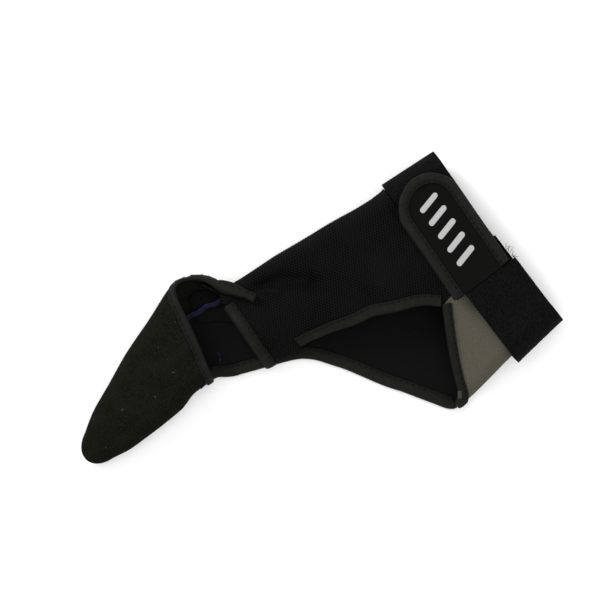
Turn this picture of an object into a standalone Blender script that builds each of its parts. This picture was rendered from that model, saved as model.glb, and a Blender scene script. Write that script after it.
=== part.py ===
# A one-finger casting glove for the left hand, lying on its palm.
#
# The whole glove is one flattened tube that runs from the wrist to the fingertip. A place on it has
# two numbers. The station runs along it: 0 is the wrist edge, 1 the front edge of the cuff, 6 the
# front edge of the back panel, 8 the mouth of the finger stall and 14 the fingertip. The turn runs
# round it: 0 is the thumb side's fold, 2 the middle of the back, 4 the little finger side's fold and
# 6 the middle of the palm, and each of the four corners between them is an odd number.
# Every piece is cut from this tube by an outline in stations and turns, as cloth is by a pattern,
# and then gets its own wall and its own distance from the tube's surface.

import math
from collections import namedtuple

import bmesh
import bpy
import numpy as np
from mathutils import Vector
from mathutils.geometry import delaunay_2d_cdt

MM = 0.001

# Main sizes in millimetres and degrees
WRIST_WIDTH = 86.0  # the cuff, lying flat
CUFF_DEPTH = 25.0  # the width of the elastic band
HAND_REACH = 79.0  # from the cuff's front edge to the back panel's front edge
FINGER_REACH = 84.0  # from the finger's root to the tip of the stall
FINGER_WIDTH = 36.0  # the stall at its mouth
FINGER_OFFSET = 47.8  # the finger's root, from the hand's middle line to the thumb side
FINGER_LEAD = 2.5  # the finger's root, ahead of the back panel's front edge
FINGER_TURN = 12.2  # how far the finger leans away from the thumb side
CUFF_HEIGHT = 14.0
HAND_HEIGHT = 14.0
FINGER_HEIGHT = 16.0
TIP_ROUNDING = 22.0  # the taper of the stall where its round tip begins

# Walls
MESH_WALL = 1.6
PALM_WALL = 1.6
STALL_WALL = 1.6
GUSSET_WALL = 1.6
BAND_WALL = 1.6
STRAP_WALL = 1.6
TAB_WALL = 1.8
TAPE_WALL = 0.7  # the binding tape, which is folded over each bound edge
TAPE_REACH = 3.8  # how far the tape covers the cloth behind an edge
MOUTH_TAPE_REACH = 2.6  # the same at the mouth of the stall
GUSSET_TAPE_REACH = 3.0  # the same round the gusset's tight fold
CLEARANCE = 0.35  # between two pieces that are sewn together

# Strap and tab
TAB_WIDTH = 26.6
TAB_LENGTH = 48.5
TAB_TURN = 2.8  # the tab lies a little askew on the cuff
TAB_ROOT = -9.3  # where the tab leaves the strap, from the hand's middle line
TAB_SHIFT = 9.6  # the tab's middle, behind the cuff's front edge
STRAP_END_TURN = 6.0  # where the strap is sewn down under the palm

# Thumb hole in the palm
THUMB_LENGTH = 42.0
THUMB_WIDTH = 21.0
THUMB_ALONG = 0.47  # the hole's middle ahead of the cuff, as a share of HAND_REACH
THUMB_ACROSS = 0.31  # and to the thumb side of the middle line, as a share of WRIST_WIDTH

# Rolled seam inside the mouth of the stall
SEAM_RADIUS = 1.1
SEAM_SIDES = 8

# Stations of the main edges
CUFF_FRONT = 1.0
PANEL_START = 0.84  # the panels run on under the cuff, and are sewn there
LAST_SECTION = 13.0
FINGERTIP = 14.0

# Turns of the seams that run along the glove
RADIAL_SEAM = -0.5  # between the back panel and the palm, under the thumb side's fold
TONGUE_ROOT = 6.18  # the station where the palm ends under the stall's wing
CUT_LINE = 6.0  # where a piece that goes all round is laid open
FULL_TURN = 8.0
PALM_EDGE = 5.0  # where the palm's flat part begins on the little finger side
LEFT_EDGE = PALM_EDGE - FULL_TURN
EDGE_STEP = 10.0  # a turn below LEFT_EDGE runs this far past the palm's flat part, along the ground

Section = namedtuple(
    "Section", "radial_along radial_out ulnar_along ulnar_out height radial_fold ulnar_fold lift"
)

# The cuff's wrist edge and front edge. Along is a share of CUFF_DEPTH behind the front edge, out of
# half WRIST_WIDTH from the middle line, height of CUFF_HEIGHT, and a fold of half the height. Lift
# tells what lies under the tube: 1 is the strap, 0 only the tape.
CUFF_SECTIONS = [
    Section(1.00, 0.944, 1.00, -0.877, 1.00, 0.86, 0.86, 1.0),
    Section(0.00, 0.988, 0.00, -0.942, 1.00, 0.86, 0.86, 1.0),
]

# The hand, from the cuff forwards. Along is a share of HAND_REACH, out of half WRIST_WIDTH and height
# of HAND_HEIGHT.
HAND_SECTIONS = [
    Section(0.109, 1.008, 0.354, -1.025, 1.02, 0.86, 0.50, 0.35),
    Section(0.319, 1.056, 0.562, -0.547, 0.98, 0.84, 0.32, 0.0),
    Section(0.566, 1.110, 0.733, -0.019, 0.92, 0.84, 0.36, 0.0),
    Section(0.785, 1.140, 0.872, 0.284, 0.88, 0.86, 0.50, 0.0),
    Section(0.995, 1.221, 1.020, 0.384, 0.92, 0.88, 0.50, 0.0),
]

# The finger, from its root to the tip. Along is a share of FINGER_REACH, out of half FINGER_WIDTH from
# the finger's own line and height of FINGER_HEIGHT.
FINGER_SECTIONS = [
    Section(0.012, 0.830, 0.204, -1.390, 0.90, 0.90, 0.50, 0.0),
    Section(0.080, 1.000, 0.303, -0.945, 1.02, 0.92, 0.90, 0.0),
    Section(0.282, 0.928, 0.405, -0.844, 0.98, 0.94, 0.94, -0.35),
    Section(0.467, 0.850, 0.518, -0.850, 0.92, 0.94, 0.94, -0.5),
    Section(0.643, 0.694, 0.648, -0.739, 0.83, 0.94, 0.94, -0.5),
    Section(0.798, 0.556, 0.798, -0.578, 0.71, 0.94, 0.94, -0.5),
    Section(0.905, 0.385, 0.905, -0.385, 0.56, 0.94, 0.94, -0.5),
]

# Edges of the pattern pieces, as stations and turns
Edge = namedtuple("Edge", "station turn")

# The back panel's free edge, from the gusset round the opening to the finger's root
BACK_OPENING = [
    Edge(1.46, 2.20), Edge(1.80, 2.03), Edge(2.22, 1.96), Edge(2.91, 2.05), Edge(3.42, 2.22),
    Edge(3.90, 2.41), Edge(4.38, 2.64), Edge(4.80, 2.92),
]
# Where that edge turns down to the palm, between two fingers
BACK_SADDLE = [Edge(4.80, 2.92), Edge(5.00, 3.40), Edge(5.16, 4.05)]
# The back panel's front edge, from the thumb side to the little finger side
BACK_FRONT = [Edge(6.14, 1.20), Edge(6.12, 1.60), Edge(6.10, 2.28), Edge(6.09, 3.20), Edge(6.08, 4.00)]
# Its end under the thumb side's fold
BACK_CORNER = [Edge(6.00, -0.50), Edge(6.03, 0.00), Edge(6.08, 0.60), Edge(6.14, 1.20)]
# The gusset's front edge, from the back of the hand to the palm
GUSSET_FRONT = [
    Edge(1.34, 2.23), Edge(1.54, 2.47), Edge(1.70, 2.75), Edge(1.81, 3.05), Edge(1.90, 3.42),
    Edge(1.96, 3.82), Edge(1.97, 4.20),
]
# The seam between the gusset and the palm, from the cuff forwards, as turns of the gusset
GUSSET_SEAM = [Edge(0.84, 5.12), Edge(1.00, 5.12), Edge(1.40, 4.92), Edge(1.75, 4.50), Edge(1.97, 4.20)]
# The same seam on the palm, which is flat there
GUSSET_SEAM_ON_PALM = [
    Edge(0.84, -2.86), Edge(1.00, -2.86), Edge(1.40, -2.98), Edge(1.75, -3.14), Edge(2.02, -3.36),
]
# The palm's free edge, from the gusset to the stall
PALM_OPENING = [
    Edge(2.02, -3.36), Edge(2.08, -3.38), Edge(2.20, -3.35), Edge(2.49, -3.22), Edge(2.90, -3.25),
    Edge(3.28, -3.29), Edge(3.82, -3.30), Edge(4.40, -3.32), Edge(4.97, -3.43), Edge(5.95, -3.38),
    Edge(6.95, -3.18), Edge(7.50, -3.34), Edge(7.80, -3.52),
]
# The mouth of the stall, from the little finger side over the finger, back along the thumb side and
# over the corner of the back panel
STALL_MOUTH = [
    Edge(8.12, 4.55), Edge(8.03, 4.00), Edge(8.02, 3.00), Edge(8.04, 2.30), Edge(8.08, 1.60),
    Edge(8.04, 1.20), Edge(7.84, 0.92), Edge(7.30, 0.74), Edge(6.70, 0.68), Edge(6.20, 0.72),
    Edge(5.80, 0.88), Edge(5.52, 1.08), Edge(5.36, 1.36),
]
# The end of the stall's wing on the thumb side, which laps over the back panel
WING_END = [
    Edge(5.36, 1.36), Edge(5.34, 1.10), Edge(5.50, 0.66), Edge(5.76, 0.24), Edge(6.00, -0.12),
    Edge(6.20, -0.50), Edge(6.26, -0.90), Edge(6.26, -1.32),
]
# The seam between the stall and the palm's tongue, from the little finger side to the thumb side
TONGUE_SEAM = [
    Edge(8.38, -3.00), Edge(8.80, -2.65), Edge(8.96, -2.30), Edge(8.96, -2.00), Edge(8.72, -1.72),
    Edge(8.10, -1.47), Edge(7.20, -1.44), Edge(6.70, -1.36), Edge(6.26, -1.32),
]
# The rolled seam in the mouth, along the thumb side of that seam
ROLL_PATH = [
    Edge(8.50, -1.60), Edge(8.10, -1.47), Edge(7.70, -1.47), Edge(7.20, -1.48), Edge(6.70, -1.42),
    Edge(6.34, -1.33),
]

# The crease that the back panel has behind the end of the stall's wing
CREASE_DEPTH = 1.7
CREASE_WIDTH = 3.4
CREASE_PATH = [Edge(5.10, 1.50), Edge(4.80, 1.52), Edge(4.20, 1.60), Edge(3.60, 1.72)]

# Lines of the net that fills each pattern piece
STATION_NET = np.concatenate([
    [-0.5, 0.0, 0.5, PANEL_START, CUFF_FRONT, 1.25],
    np.arange(1.5, 2.0, 0.125),
    np.arange(2.0, 9.0, 0.25),
    np.arange(9.0, LAST_SECTION, 0.5),
    [LAST_SECTION, 13.36, 13.66, 13.86, FINGERTIP],
])
TURN_NET = np.arange(-4.0, 6.01, 0.25)
BACK_TURN_NET = np.concatenate([
    np.arange(-4.0, 1.0, 0.25), np.arange(1.0, 3.0, 0.125), np.arange(3.0, 6.01, 0.25),
])
NET_CLEARANCE = 0.42  # a net point this near an outline, in cells, is left out
EDGE_TOLERANCE = 0.07  # millimetres
EDGE_SPACING = 8.0


def tape_half(wall):
    """Half the thickness of a bound edge."""
    return wall / 2 + CLEARANCE + TAPE_WALL


# Distances of the outer layers from the tube's surface
BAND_OFFSET = max(MESH_WALL, PALM_WALL, GUSSET_WALL) / 2 + CLEARANCE + BAND_WALL / 2
STRAP_OFFSET = BAND_OFFSET + BAND_WALL / 2 + CLEARANCE + STRAP_WALL / 2
TAB_OFFSET = BAND_OFFSET + BAND_WALL / 2 + CLEARANCE + tape_half(TAB_WALL)
LAP_OFFSET = MESH_WALL / 2 + CLEARANCE + tape_half(STALL_WALL)

# Heights of the tube's surface above the ground, under the hand and under the cuff
TAPE_LIFT = tape_half(PALM_WALL)
CUFF_LIFT = STRAP_OFFSET + STRAP_WALL / 2


def lift_height(share):
    """The tube's height above the ground: 1 over the strap, 0 over the tape, -0.5 on the stall's wall."""
    if share >= 0:
        return TAPE_LIFT + share * (CUFF_LIFT - TAPE_LIFT)
    return TAPE_LIFT + 2 * share * (TAPE_LIFT - STALL_WALL / 2)


def finger_place(along, out):
    """A place given along and across the finger, in the hand's frame."""
    lean = math.radians(FINGER_TURN)
    root_x, root_y = -HAND_REACH - FINGER_LEAD, FINGER_OFFSET
    return (
        root_x - along * math.cos(lean) - out * math.sin(lean),
        root_y - along * math.sin(lean) + out * math.cos(lean),
    )


def real_sections():
    """Every section as a row of real sizes: both ends in plan, height, both folds and lift."""
    half = WRIST_WIDTH / 2
    rows = []
    for sections, length, height, sign in (
        (CUFF_SECTIONS, CUFF_DEPTH, CUFF_HEIGHT, 1),
        (HAND_SECTIONS, HAND_REACH, HAND_HEIGHT, -1),
    ):
        for s in sections:
            radial = [sign * s.radial_along * length, s.radial_out * half]
            ulnar = [sign * s.ulnar_along * length, s.ulnar_out * half]
            rows.append(radial + ulnar + upright_sizes(s, height))
    for s in FINGER_SECTIONS:
        radial = finger_place(s.radial_along * FINGER_REACH, s.radial_out * FINGER_WIDTH / 2)
        ulnar = finger_place(s.ulnar_along * FINGER_REACH, s.ulnar_out * FINGER_WIDTH / 2)
        rows.append([*radial, *ulnar] + upright_sizes(s, FINGER_HEIGHT))
    return np.array(rows)


def upright_sizes(section, full_height):
    height = section.height * full_height
    folds = [section.radial_fold * height / 2, section.ulnar_fold * height / 2]
    return [height, *folds, lift_height(section.lift)]


def monotone_slopes(values):
    """Slopes of a curve that goes through evenly spaced rows and never swings past them."""
    steps = np.diff(values, axis=0)
    slopes = np.zeros_like(values)
    slopes[0], slopes[-1] = steps[0], steps[-1]
    before, after = steps[:-1], steps[1:]
    same_way = before * after > 0
    total = np.where(same_way, before + after, 1.0)
    slopes[1:-1] = np.where(same_way, 2 * before * after / total, 0.0)
    return slopes


SECTIONS = real_sections()
BODY = SECTIONS[1:]
BODY_SLOPES = monotone_slopes(BODY)
BODY_SLOPES[0, 4:] = 0  # the height goes on level from the straight cuff


def section_at(station):
    """Section rows at any stations. The cuff is straight, and the rest runs smoothly."""
    station = np.asarray(station, float)
    straight = SECTIONS[0] + station[:, None] * (SECTIONS[1] - SECTIONS[0])
    place = np.clip(station - CUFF_FRONT, 0, len(BODY) - 1)
    i = np.minimum(place.astype(int), len(BODY) - 2)
    t = (place - i)[:, None]
    curved = (
        BODY[i] * (1 + 2 * t) * (1 - t) ** 2
        + BODY_SLOPES[i] * t * (1 - t) ** 2
        + BODY[i + 1] * t * t * (3 - 2 * t)
        + BODY_SLOPES[i + 1] * t * t * (t - 1)
    )
    return np.where((station < CUFF_FRONT)[:, None], straight, curved)


def surface(station, turn):
    """Points of the tube's surface, in millimetres in the hand's frame."""
    station, turn = np.broadcast_arrays(np.asarray(station, float), np.asarray(turn, float))
    row = section_at(station)
    radial, ulnar = row[:, 0:2], row[:, 2:4]
    height, radial_fold, ulnar_fold, lift = row[:, 4], row[:, 5], row[:, 6], row[:, 7]
    width = np.linalg.norm(ulnar - radial, axis=1)
    past_edge = np.maximum(LEFT_EDGE - turn, 0)
    turn = (np.maximum(turn, LEFT_EDGE) + 1) % FULL_TURN - 1
    across, up = np.zeros_like(turn), np.zeros_like(turn)

    # The thumb side's fold, the back, the little finger side's fold and the palm
    fold = turn < 1
    angle = turn * math.pi / 2
    across[fold] = (radial_fold * (1 - np.cos(angle)))[fold]
    up[fold] = (radial_fold * (1 + np.sin(angle)))[fold]
    flat = width - radial_fold - ulnar_fold
    back = (turn >= 1) & (turn < 3)
    share = (turn - 1) / 2
    blend = share * share * (3 - 2 * share)
    crown = (4 * share * (1 - share)) ** 2
    shoulder = 2 * (radial_fold + (ulnar_fold - radial_fold) * blend)
    middle = radial_fold + ulnar_fold
    across[back] = (radial_fold + flat * share)[back]
    up[back] = (shoulder + crown * (height - middle))[back]
    fold = (turn >= 3) & (turn < 5)
    angle = (turn - 4) * math.pi / 2
    across[fold] = (width - ulnar_fold * (1 - np.cos(angle)))[fold]
    up[fold] = (ulnar_fold * (1 - np.sin(angle)))[fold]
    palm = turn >= 5
    across[palm] = (width - ulnar_fold - flat * (turn - 5) / 2 + past_edge * EDGE_STEP)[palm]

    # The fingertip is a dome on the last section
    taper = math.radians(TIP_ROUNDING)
    dome = taper + np.clip(station - LAST_SECTION, 0, 1) * (math.pi / 2 - taper)
    shrink = np.cos(dome) / math.cos(taper)
    tip_length = FINGER_REACH * (1 - FINGER_SECTIONS[-1].radial_along) - STALL_WALL / 2
    push = tip_length * (np.sin(dome) - math.sin(taper)) / (1 - math.sin(taper))
    lean = math.radians(FINGER_TURN)
    direction = np.array([-math.cos(lean), -math.sin(lean)])
    unit = (ulnar - radial) / width[:, None]
    centre = (radial + ulnar) / 2
    plan = centre + unit * ((across - width / 2) * shrink)[:, None] + direction * push[:, None]
    z = lift + height / 2 + (up - height / 2) * shrink
    return np.column_stack([plan, z])


def normals(station, turn):
    """Unit normals of the tube, pointing out of the glove."""
    step = 1e-3
    station = np.minimum(np.asarray(station, float), FINGERTIP - 0.05)
    turn = np.asarray(turn, float)
    ahead = np.where(station > CUFF_FRONT, step, 0)
    along = surface(station + ahead, turn) - surface(station - step, turn)
    around = surface(station, turn + step) - surface(station, turn - step)
    normal = np.cross(along, around)
    return normal / np.linalg.norm(normal, axis=1)[:, None]


def walk(places, direction, distance, steps=8):
    """Moves places over the tube, straight ahead from a direction in space, by a distance."""
    places, direction = np.array(places, float), np.array(direction, float)
    step = 1e-3
    for _ in range(steps):
        station, turn = places[:, 0], places[:, 1]
        along = (surface(station + step, turn) - surface(station - step, turn)) / (2 * step)
        around = (surface(station, turn + step) - surface(station, turn - step)) / (2 * step)
        normal = np.cross(along, around)
        normal /= np.linalg.norm(normal, axis=1)[:, None]
        direction -= normal * np.sum(direction * normal, axis=1)[:, None]
        direction /= np.linalg.norm(direction, axis=1)[:, None]
        aa, ab, bb = (np.sum(p * q, axis=1) for p, q in ((along, along), (along, around), (around, around)))
        da, db = np.sum(direction * along, axis=1), np.sum(direction * around, axis=1)
        share = distance / steps / (aa * bb - ab * ab)
        places += np.column_stack([da * bb - db * ab, db * aa - da * ab]) * share[:, None]
    return places


def left_of(edge, closed=False):
    """Directions in space that point to the left of an edge, along the tube's surface."""
    middle = surface(edge[:, 0], edge[:, 1])
    if closed:
        tangent = np.roll(middle, -1, axis=0) - np.roll(middle, 1, axis=0)
    else:
        tangent = np.gradient(middle, axis=0)
    left = np.cross(normals(edge[:, 0], edge[:, 1]), tangent)
    return left / np.linalg.norm(left, axis=1)[:, None]


def beside(edge, distance):
    """An edge moved to its left by a distance."""
    edge = np.asarray(edge, float)
    return walk(edge, left_of(edge) * math.copysign(1, distance), abs(distance))


def shell_points(places, distance):
    """Points at a distance outside the tube, for rows of station and turn."""
    places = np.asarray(places, float)
    station, turn = places[:, 0], places[:, 1]
    return surface(station, turn) + normals(station, turn) * np.reshape(distance, (-1, 1))


def place_in_plan(x, y, underside=False, distance=0.0):
    """Station and turn of a point seen in plan, on a layer at some distance from the back or the palm."""
    low, high = -1.0, LAST_SECTION
    for _ in range(40):
        middle = (low + high) / 2
        row = section_at([middle])[0]
        line = row[2:4] - row[0:2]
        ahead = line[0] * (y - row[1]) - line[1] * (x - row[0])
        low, high = (middle, high) if ahead < 0 else (low, middle)
    row = section_at([low])[0]
    width = math.dist(row[0:2], row[2:4])
    across = np.dot([x - row[0], y - row[1]], (row[2:4] - row[0:2]) / width)
    flat = width - row[5] - row[6]
    if underside:
        past_edge = max(across - (width - row[6]), 0) / EDGE_STEP
        turn = -1 - 2 * min((across - row[5]) / flat, 1)
        return low, turn - past_edge
    if across < row[5]:
        return low, math.acos(1 - max(across + distance, 0) / (row[5] + distance)) * 2 / math.pi
    if across > width - row[6]:
        return low, 4 - math.acos(1 - max(width - across + distance, 0) / (row[6] + distance)) * 2 / math.pi
    return low, 1 + 2 * (across - row[5]) / flat


def smooth_step(value, start, end):
    t = np.clip((value - start) / (end - start), 0, 1)
    return t * t * (3 - 2 * t)


def no_offset(places):
    return np.zeros(len(places))


def back_offset(places):
    """The back panel has a crease where the stall's wing pulls at it."""
    plan = surface(places[:, 0], places[:, 1])[:, :2]
    path = np.array(CREASE_PATH, float)
    line = surface(path[:, 0], path[:, 1])[:, :2]
    on_back = smooth_step(places[:, 1], 0.5, 1.2)
    return -CREASE_DEPTH * on_back * np.exp(-((distance_to(plan, line, False) / CREASE_WIDTH) ** 2))


def wing_offset(places):
    """The stall lies on the tube, but its wing climbs over the back panel's corner."""
    climb = 1 - smooth_step(places[:, 0], 6.35, 7.15)
    upper = smooth_step(places[:, 1], -0.75, -0.1)
    near = 1 - smooth_step(places[:, 1], 4.0, 4.5)
    return LAP_OFFSET * climb * upper * near


def strap_offset(places):
    """The strap lies on the cuff band, and rises to the tab where they are sewn together."""
    root_turn = strap_root()[0][1]
    rise = 1 - smooth_step(places[:, 1], root_turn, root_turn + 0.5)
    return STRAP_OFFSET + (TAB_OFFSET - STRAP_OFFSET) * rise


def strap_root():
    """The strap's end beside the tab, from the wrist edge forwards."""
    count = 6
    return np.array([
        place_in_plan(CUFF_DEPTH * (1 - i / count), TAB_ROOT - CLEARANCE, distance=TAB_OFFSET)
        for i in range(count + 1)
    ])


# Pattern pieces

def cells(places, turns=TURN_NET):
    """Stations and turns as numbers of net cells."""
    places = np.asarray(places, float)
    return np.column_stack([
        np.interp(places[:, 0], STATION_NET, np.arange(len(STATION_NET))),
        np.interp(places[:, 1], turns, np.arange(len(turns))),
    ])


def smooth_edge(knots):
    """A smooth run through an edge's knots, with points only where it bends."""
    knots = np.array([tuple(k) for k in knots], float)
    ends = np.concatenate([[2 * knots[0] - knots[1]], knots, [2 * knots[-1] - knots[-2]]])
    fine = []
    for p0, p1, p2, p3 in zip(ends[:-3], ends[1:-2], ends[2:-1], ends[3:]):
        for t in np.arange(12) / 12:
            bend = 2 * p0 - 5 * p1 + 4 * p2 - p3
            turn_back = 3 * p1 - p0 - 3 * p2 + p3
            fine.append(0.5 * (2 * p1 + (p2 - p0) * t + bend * t**2 + turn_back * t**3))
    return thinned(np.array(fine + [knots[-1]]))


def thinned(edge):
    """The fewest points of an edge that keep it within EDGE_TOLERANCE, at most EDGE_SPACING apart."""
    middle = surface(edge[:, 0], edge[:, 1])
    kept = [0]
    while kept[-1] < len(edge) - 1:
        first, last = kept[-1], kept[-1] + 1
        while last + 1 < len(edge):
            chord = middle[last + 1] - middle[first]
            length = np.linalg.norm(chord)
            off = np.cross(middle[first : last + 1] - middle[first], chord / length)
            if length > EDGE_SPACING or np.linalg.norm(off, axis=1).max() > EDGE_TOLERANCE:
                break
            last += 1
        kept.append(last)
    return edge[kept]


def trimmed(edge, start):
    """An edge without a length at its start."""
    middle = surface(edge[:, 0], edge[:, 1])
    length = np.concatenate([[0], np.cumsum(np.linalg.norm(np.diff(middle, axis=0), axis=1))])
    first = [np.interp(start, length, edge[:, 0]), np.interp(start, length, edge[:, 1])]
    return np.concatenate([[first], edge[length > start + 0.5]])


def straight_edge(start, end):
    """A straight run in stations and turns, with a point in every cell."""
    start, end = np.array(start, float), np.array(end, float)
    grid = cells([start, end])
    count = max(1, int(np.ceil(np.abs(grid[1] - grid[0]).max() - 1e-6)))
    return start + (end - start) * (np.arange(count + 1) / count)[:, None]


def outline_of(*edges):
    """Edges joined into one closed outline, without the corners that they share."""
    points = np.concatenate(edges)
    following = np.roll(points, -1, axis=0)
    return points[np.linalg.norm(following - points, axis=1) > 1e-6]


def inside(points, outline):
    """Whether each point lies inside an outline."""
    x, y = points[:, 0][:, None], points[:, 1][:, None]
    x0, y0 = outline[:, 0], outline[:, 1]
    x1, y1 = np.roll(x0, -1), np.roll(y0, -1)
    crosses = (y0 > y) != (y1 > y)
    with np.errstate(divide="ignore", invalid="ignore"):
        at = x0 + (y - y0) * (x1 - x0) / (y1 - y0)
    return (np.sum(crosses & (x < at), axis=1) % 2) == 1


def distance_to(points, line, closed=True):
    """Distance of each point from a line of points."""
    start, side = line, np.roll(line, -1, axis=0) - line
    if not closed:
        start, side = start[:-1], side[:-1]
    from_start = points[:, None, :] - start
    share = np.clip(np.sum(from_start * side, axis=2) / np.sum(side * side, axis=1), 0, 1)
    return np.linalg.norm(from_start - share[..., None] * side, axis=2).min(axis=1)


def net_of(outline, hole, turns):
    """Stations and turns of a pattern piece's points, and its triangles."""
    rims = [cells(outline, turns)] + ([] if hole is None else [cells(hole, turns)])
    line, column = np.meshgrid(np.arange(len(STATION_NET)), np.arange(len(turns)), indexing="ij")
    lattice = np.column_stack([line.ravel(), column.ravel()]).astype(float)
    keep = inside(lattice, rims[0])
    for rim in rims:
        keep &= distance_to(lattice, rim) > NET_CLEARANCE
    if hole is not None:
        keep &= ~inside(lattice, rims[1])
    points = np.concatenate(rims + [lattice[keep]])
    sides, first = [], 0
    for rim in rims:
        sides += [(first + i, first + (i + 1) % len(rim)) for i in range(len(rim))]
        first += len(rim)
    found = delaunay_2d_cdt([Vector(p) for p in points], sides, [], 0, 1e-5)
    grid = np.array([tuple(v) for v in found[0]])
    faces = np.array([tuple(f) for f in found[2]])
    centres = grid[faces].mean(axis=1)
    wanted = inside(centres, rims[0])
    if hole is not None:
        wanted &= ~inside(centres, rims[1])
    places = np.column_stack([
        np.interp(grid[:, 0], np.arange(len(STATION_NET)), STATION_NET),
        np.interp(grid[:, 1], np.arange(len(turns)), turns),
    ])
    return places, faces[wanted]


def cut_piece(name, outline, wall, offset, material, hole=None, turns=TURN_NET):
    """A wall cut from the tube by an outline. An outline that meets itself round the tube is sewn up."""
    places, faces = net_of(outline, hole, turns)
    middle = np.round(surface(places[:, 0], places[:, 1]), 3)
    _, first, same = np.unique(middle, axis=0, return_index=True, return_inverse=True)
    faces = same.reshape(-1)[faces]
    whole = (faces[:, 0] != faces[:, 1]) & (faces[:, 1] != faces[:, 2]) & (faces[:, 2] != faces[:, 0])
    faces, places = faces[whole], places[first]
    distance = offset(places)
    outer = shell_points(places, distance + wall / 2)
    inner = shell_points(places, distance - wall / 2)
    count = len(places)
    sides = {(a, b) for f in faces for a, b in ((f[0], f[1]), (f[1], f[2]), (f[2], f[0]))}
    rim = [(a, b) for a, b in sides if (b, a) not in sides]
    polygons = [tuple(f) for f in faces]
    polygons += [tuple(f[::-1] + count) for f in faces]
    polygons += [(b, a, a + count, b + count) for a, b in sorted(rim)]
    return new_object(name, np.concatenate([outer, inner]), polygons, material)


def tape_profile(wall, reach):
    """The folded tape in section: how far behind the cloth's edge, and how far off the cloth's middle."""
    inner, outer = wall / 2 + CLEARANCE, tape_half(wall)
    crest, shoulder = -CLEARANCE - TAPE_WALL, -CLEARANCE - 0.3 * TAPE_WALL
    upper = [(reach, outer), (reach / 2, outer), (0, outer), (shoulder, outer * 0.92), (crest, outer * 0.5)]
    hollow = [(reach, -inner), (reach / 2, -inner), (-CLEARANCE, -inner)]
    lower = [(x, -y) for x, y in reversed(upper)]
    return np.array(upper + lower + hollow + [(x, -y) for x, y in reversed(hollow)])


def bind_edge(name, edge, wall, offset, material, cloth_side=1, reach=TAPE_REACH, closed=False):
    """Tape folded over an edge of a pattern piece. The cloth lies on the edge's left, or right with -1."""
    edge = np.asarray(edge, float)
    inward = left_of(edge, closed) * cloth_side
    normal = normals(edge[:, 0], edge[:, 1])
    profile = tape_profile(wall, reach)
    columns = []
    for behind, off in profile:
        if behind > 0:
            places = walk(edge, inward, behind)
            columns.append(shell_points(places, offset(places) + off))
        else:
            columns.append(shell_points(edge, offset(edge) + off) + behind * inward)
    return sweep_rings(name, list(np.stack(columns, axis=1)), material, closed)


def sweep_rings(name, rings, material, closed):
    """A solid through a row of rings with the same number of points."""
    size, count = len(rings[0]), len(rings)
    polygons = []
    for i in range(count if closed else count - 1):
        here, there = i * size, ((i + 1) % count) * size
        for j in range(size):
            k = (j + 1) % size
            polygons.append((here + j, here + k, there + k, there + j))
    if not closed:
        polygons.append(tuple(range(size))[::-1])
        polygons.append(tuple(range((count - 1) * size, count * size)))
    return new_object(name, np.concatenate(rings), polygons, material)


def roll_seam(name, path, radius, distance, material):
    """A round roll that lies along a path inside the tube."""
    path = np.asarray(path, float)
    centre = shell_points(path, distance)
    tangent = np.gradient(centre, axis=0)
    tangent /= np.linalg.norm(tangent, axis=1)[:, None]
    up = normals(path[:, 0], path[:, 1])
    side = np.cross(tangent, up)
    side /= np.linalg.norm(side, axis=1)[:, None]
    up = np.cross(side, tangent)
    angles = np.arange(SEAM_SIDES) * 2 * math.pi / SEAM_SIDES
    rings = [
        centre[i] + radius * (np.outer(np.cos(angles), side[i]) + np.outer(np.sin(angles), up[i]))
        for i in range(len(path))
    ]
    return sweep_rings(name, rings, material, False)


def new_object(name, points, polygons, material):
    mesh = bpy.data.meshes.new(name)
    mesh.from_pydata([tuple(p) for p in points * MM], [], [tuple(int(i) for i in f) for f in polygons])
    mesh.validate()
    shape = bmesh.new()
    shape.from_mesh(mesh)
    bmesh.ops.recalc_face_normals(shape, faces=shape.faces)
    shape.to_mesh(mesh)
    shape.free()
    mesh.materials.append(material)
    mesh.shade_smooth()
    mesh.set_sharp_from_angle(angle=math.radians(40))
    obj = bpy.data.objects.new(name, mesh)
    bpy.context.scene.collection.objects.link(obj)
    return obj


def new_material(name, colour, roughness):
    material = bpy.data.materials.new(name)
    material.use_nodes = True
    shader = material.node_tree.nodes["Principled BSDF"]
    shader.inputs["Base Color"].default_value = (*colour, 1.0)
    shader.inputs["Roughness"].default_value = roughness
    shader.inputs["Metallic"].default_value = 0.0
    material.diffuse_color = (*colour, 1.0)
    return material


# Outlines

def back_panel_outline():
    """The net panel: from the palm's seam over the thumb side and the back to its free edge."""
    gusset_top = GUSSET_FRONT[0]
    gusset_side = beside(straight_edge((PANEL_START, gusset_top.turn), gusset_top), -CLEARANCE)
    return outline_of(
        straight_edge(BACK_CORNER[0], (PANEL_START, RADIAL_SEAM)),
        straight_edge((PANEL_START, RADIAL_SEAM), gusset_side[0])[1:-1],
        gusset_side,
        smooth_edge(BACK_OPENING),
        smooth_edge(BACK_SADDLE)[1:],
        straight_edge(BACK_SADDLE[-1], BACK_FRONT[-1])[1:-1],
        smooth_edge(BACK_FRONT)[::-1],
        smooth_edge(BACK_CORNER)[::-1][1:-1],
    )


def gusset_outline():
    """The stretch gusset between the back, the palm and the cuff."""
    front = smooth_edge(GUSSET_FRONT)
    seam = smooth_edge(GUSSET_SEAM)[::-1]
    return outline_of(
        front,
        seam,
        straight_edge(seam[-1], (PANEL_START, front[0][1]))[1:],
        straight_edge((PANEL_START, front[0][1]), front[0])[1:-1],
    )[::-1]


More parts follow.
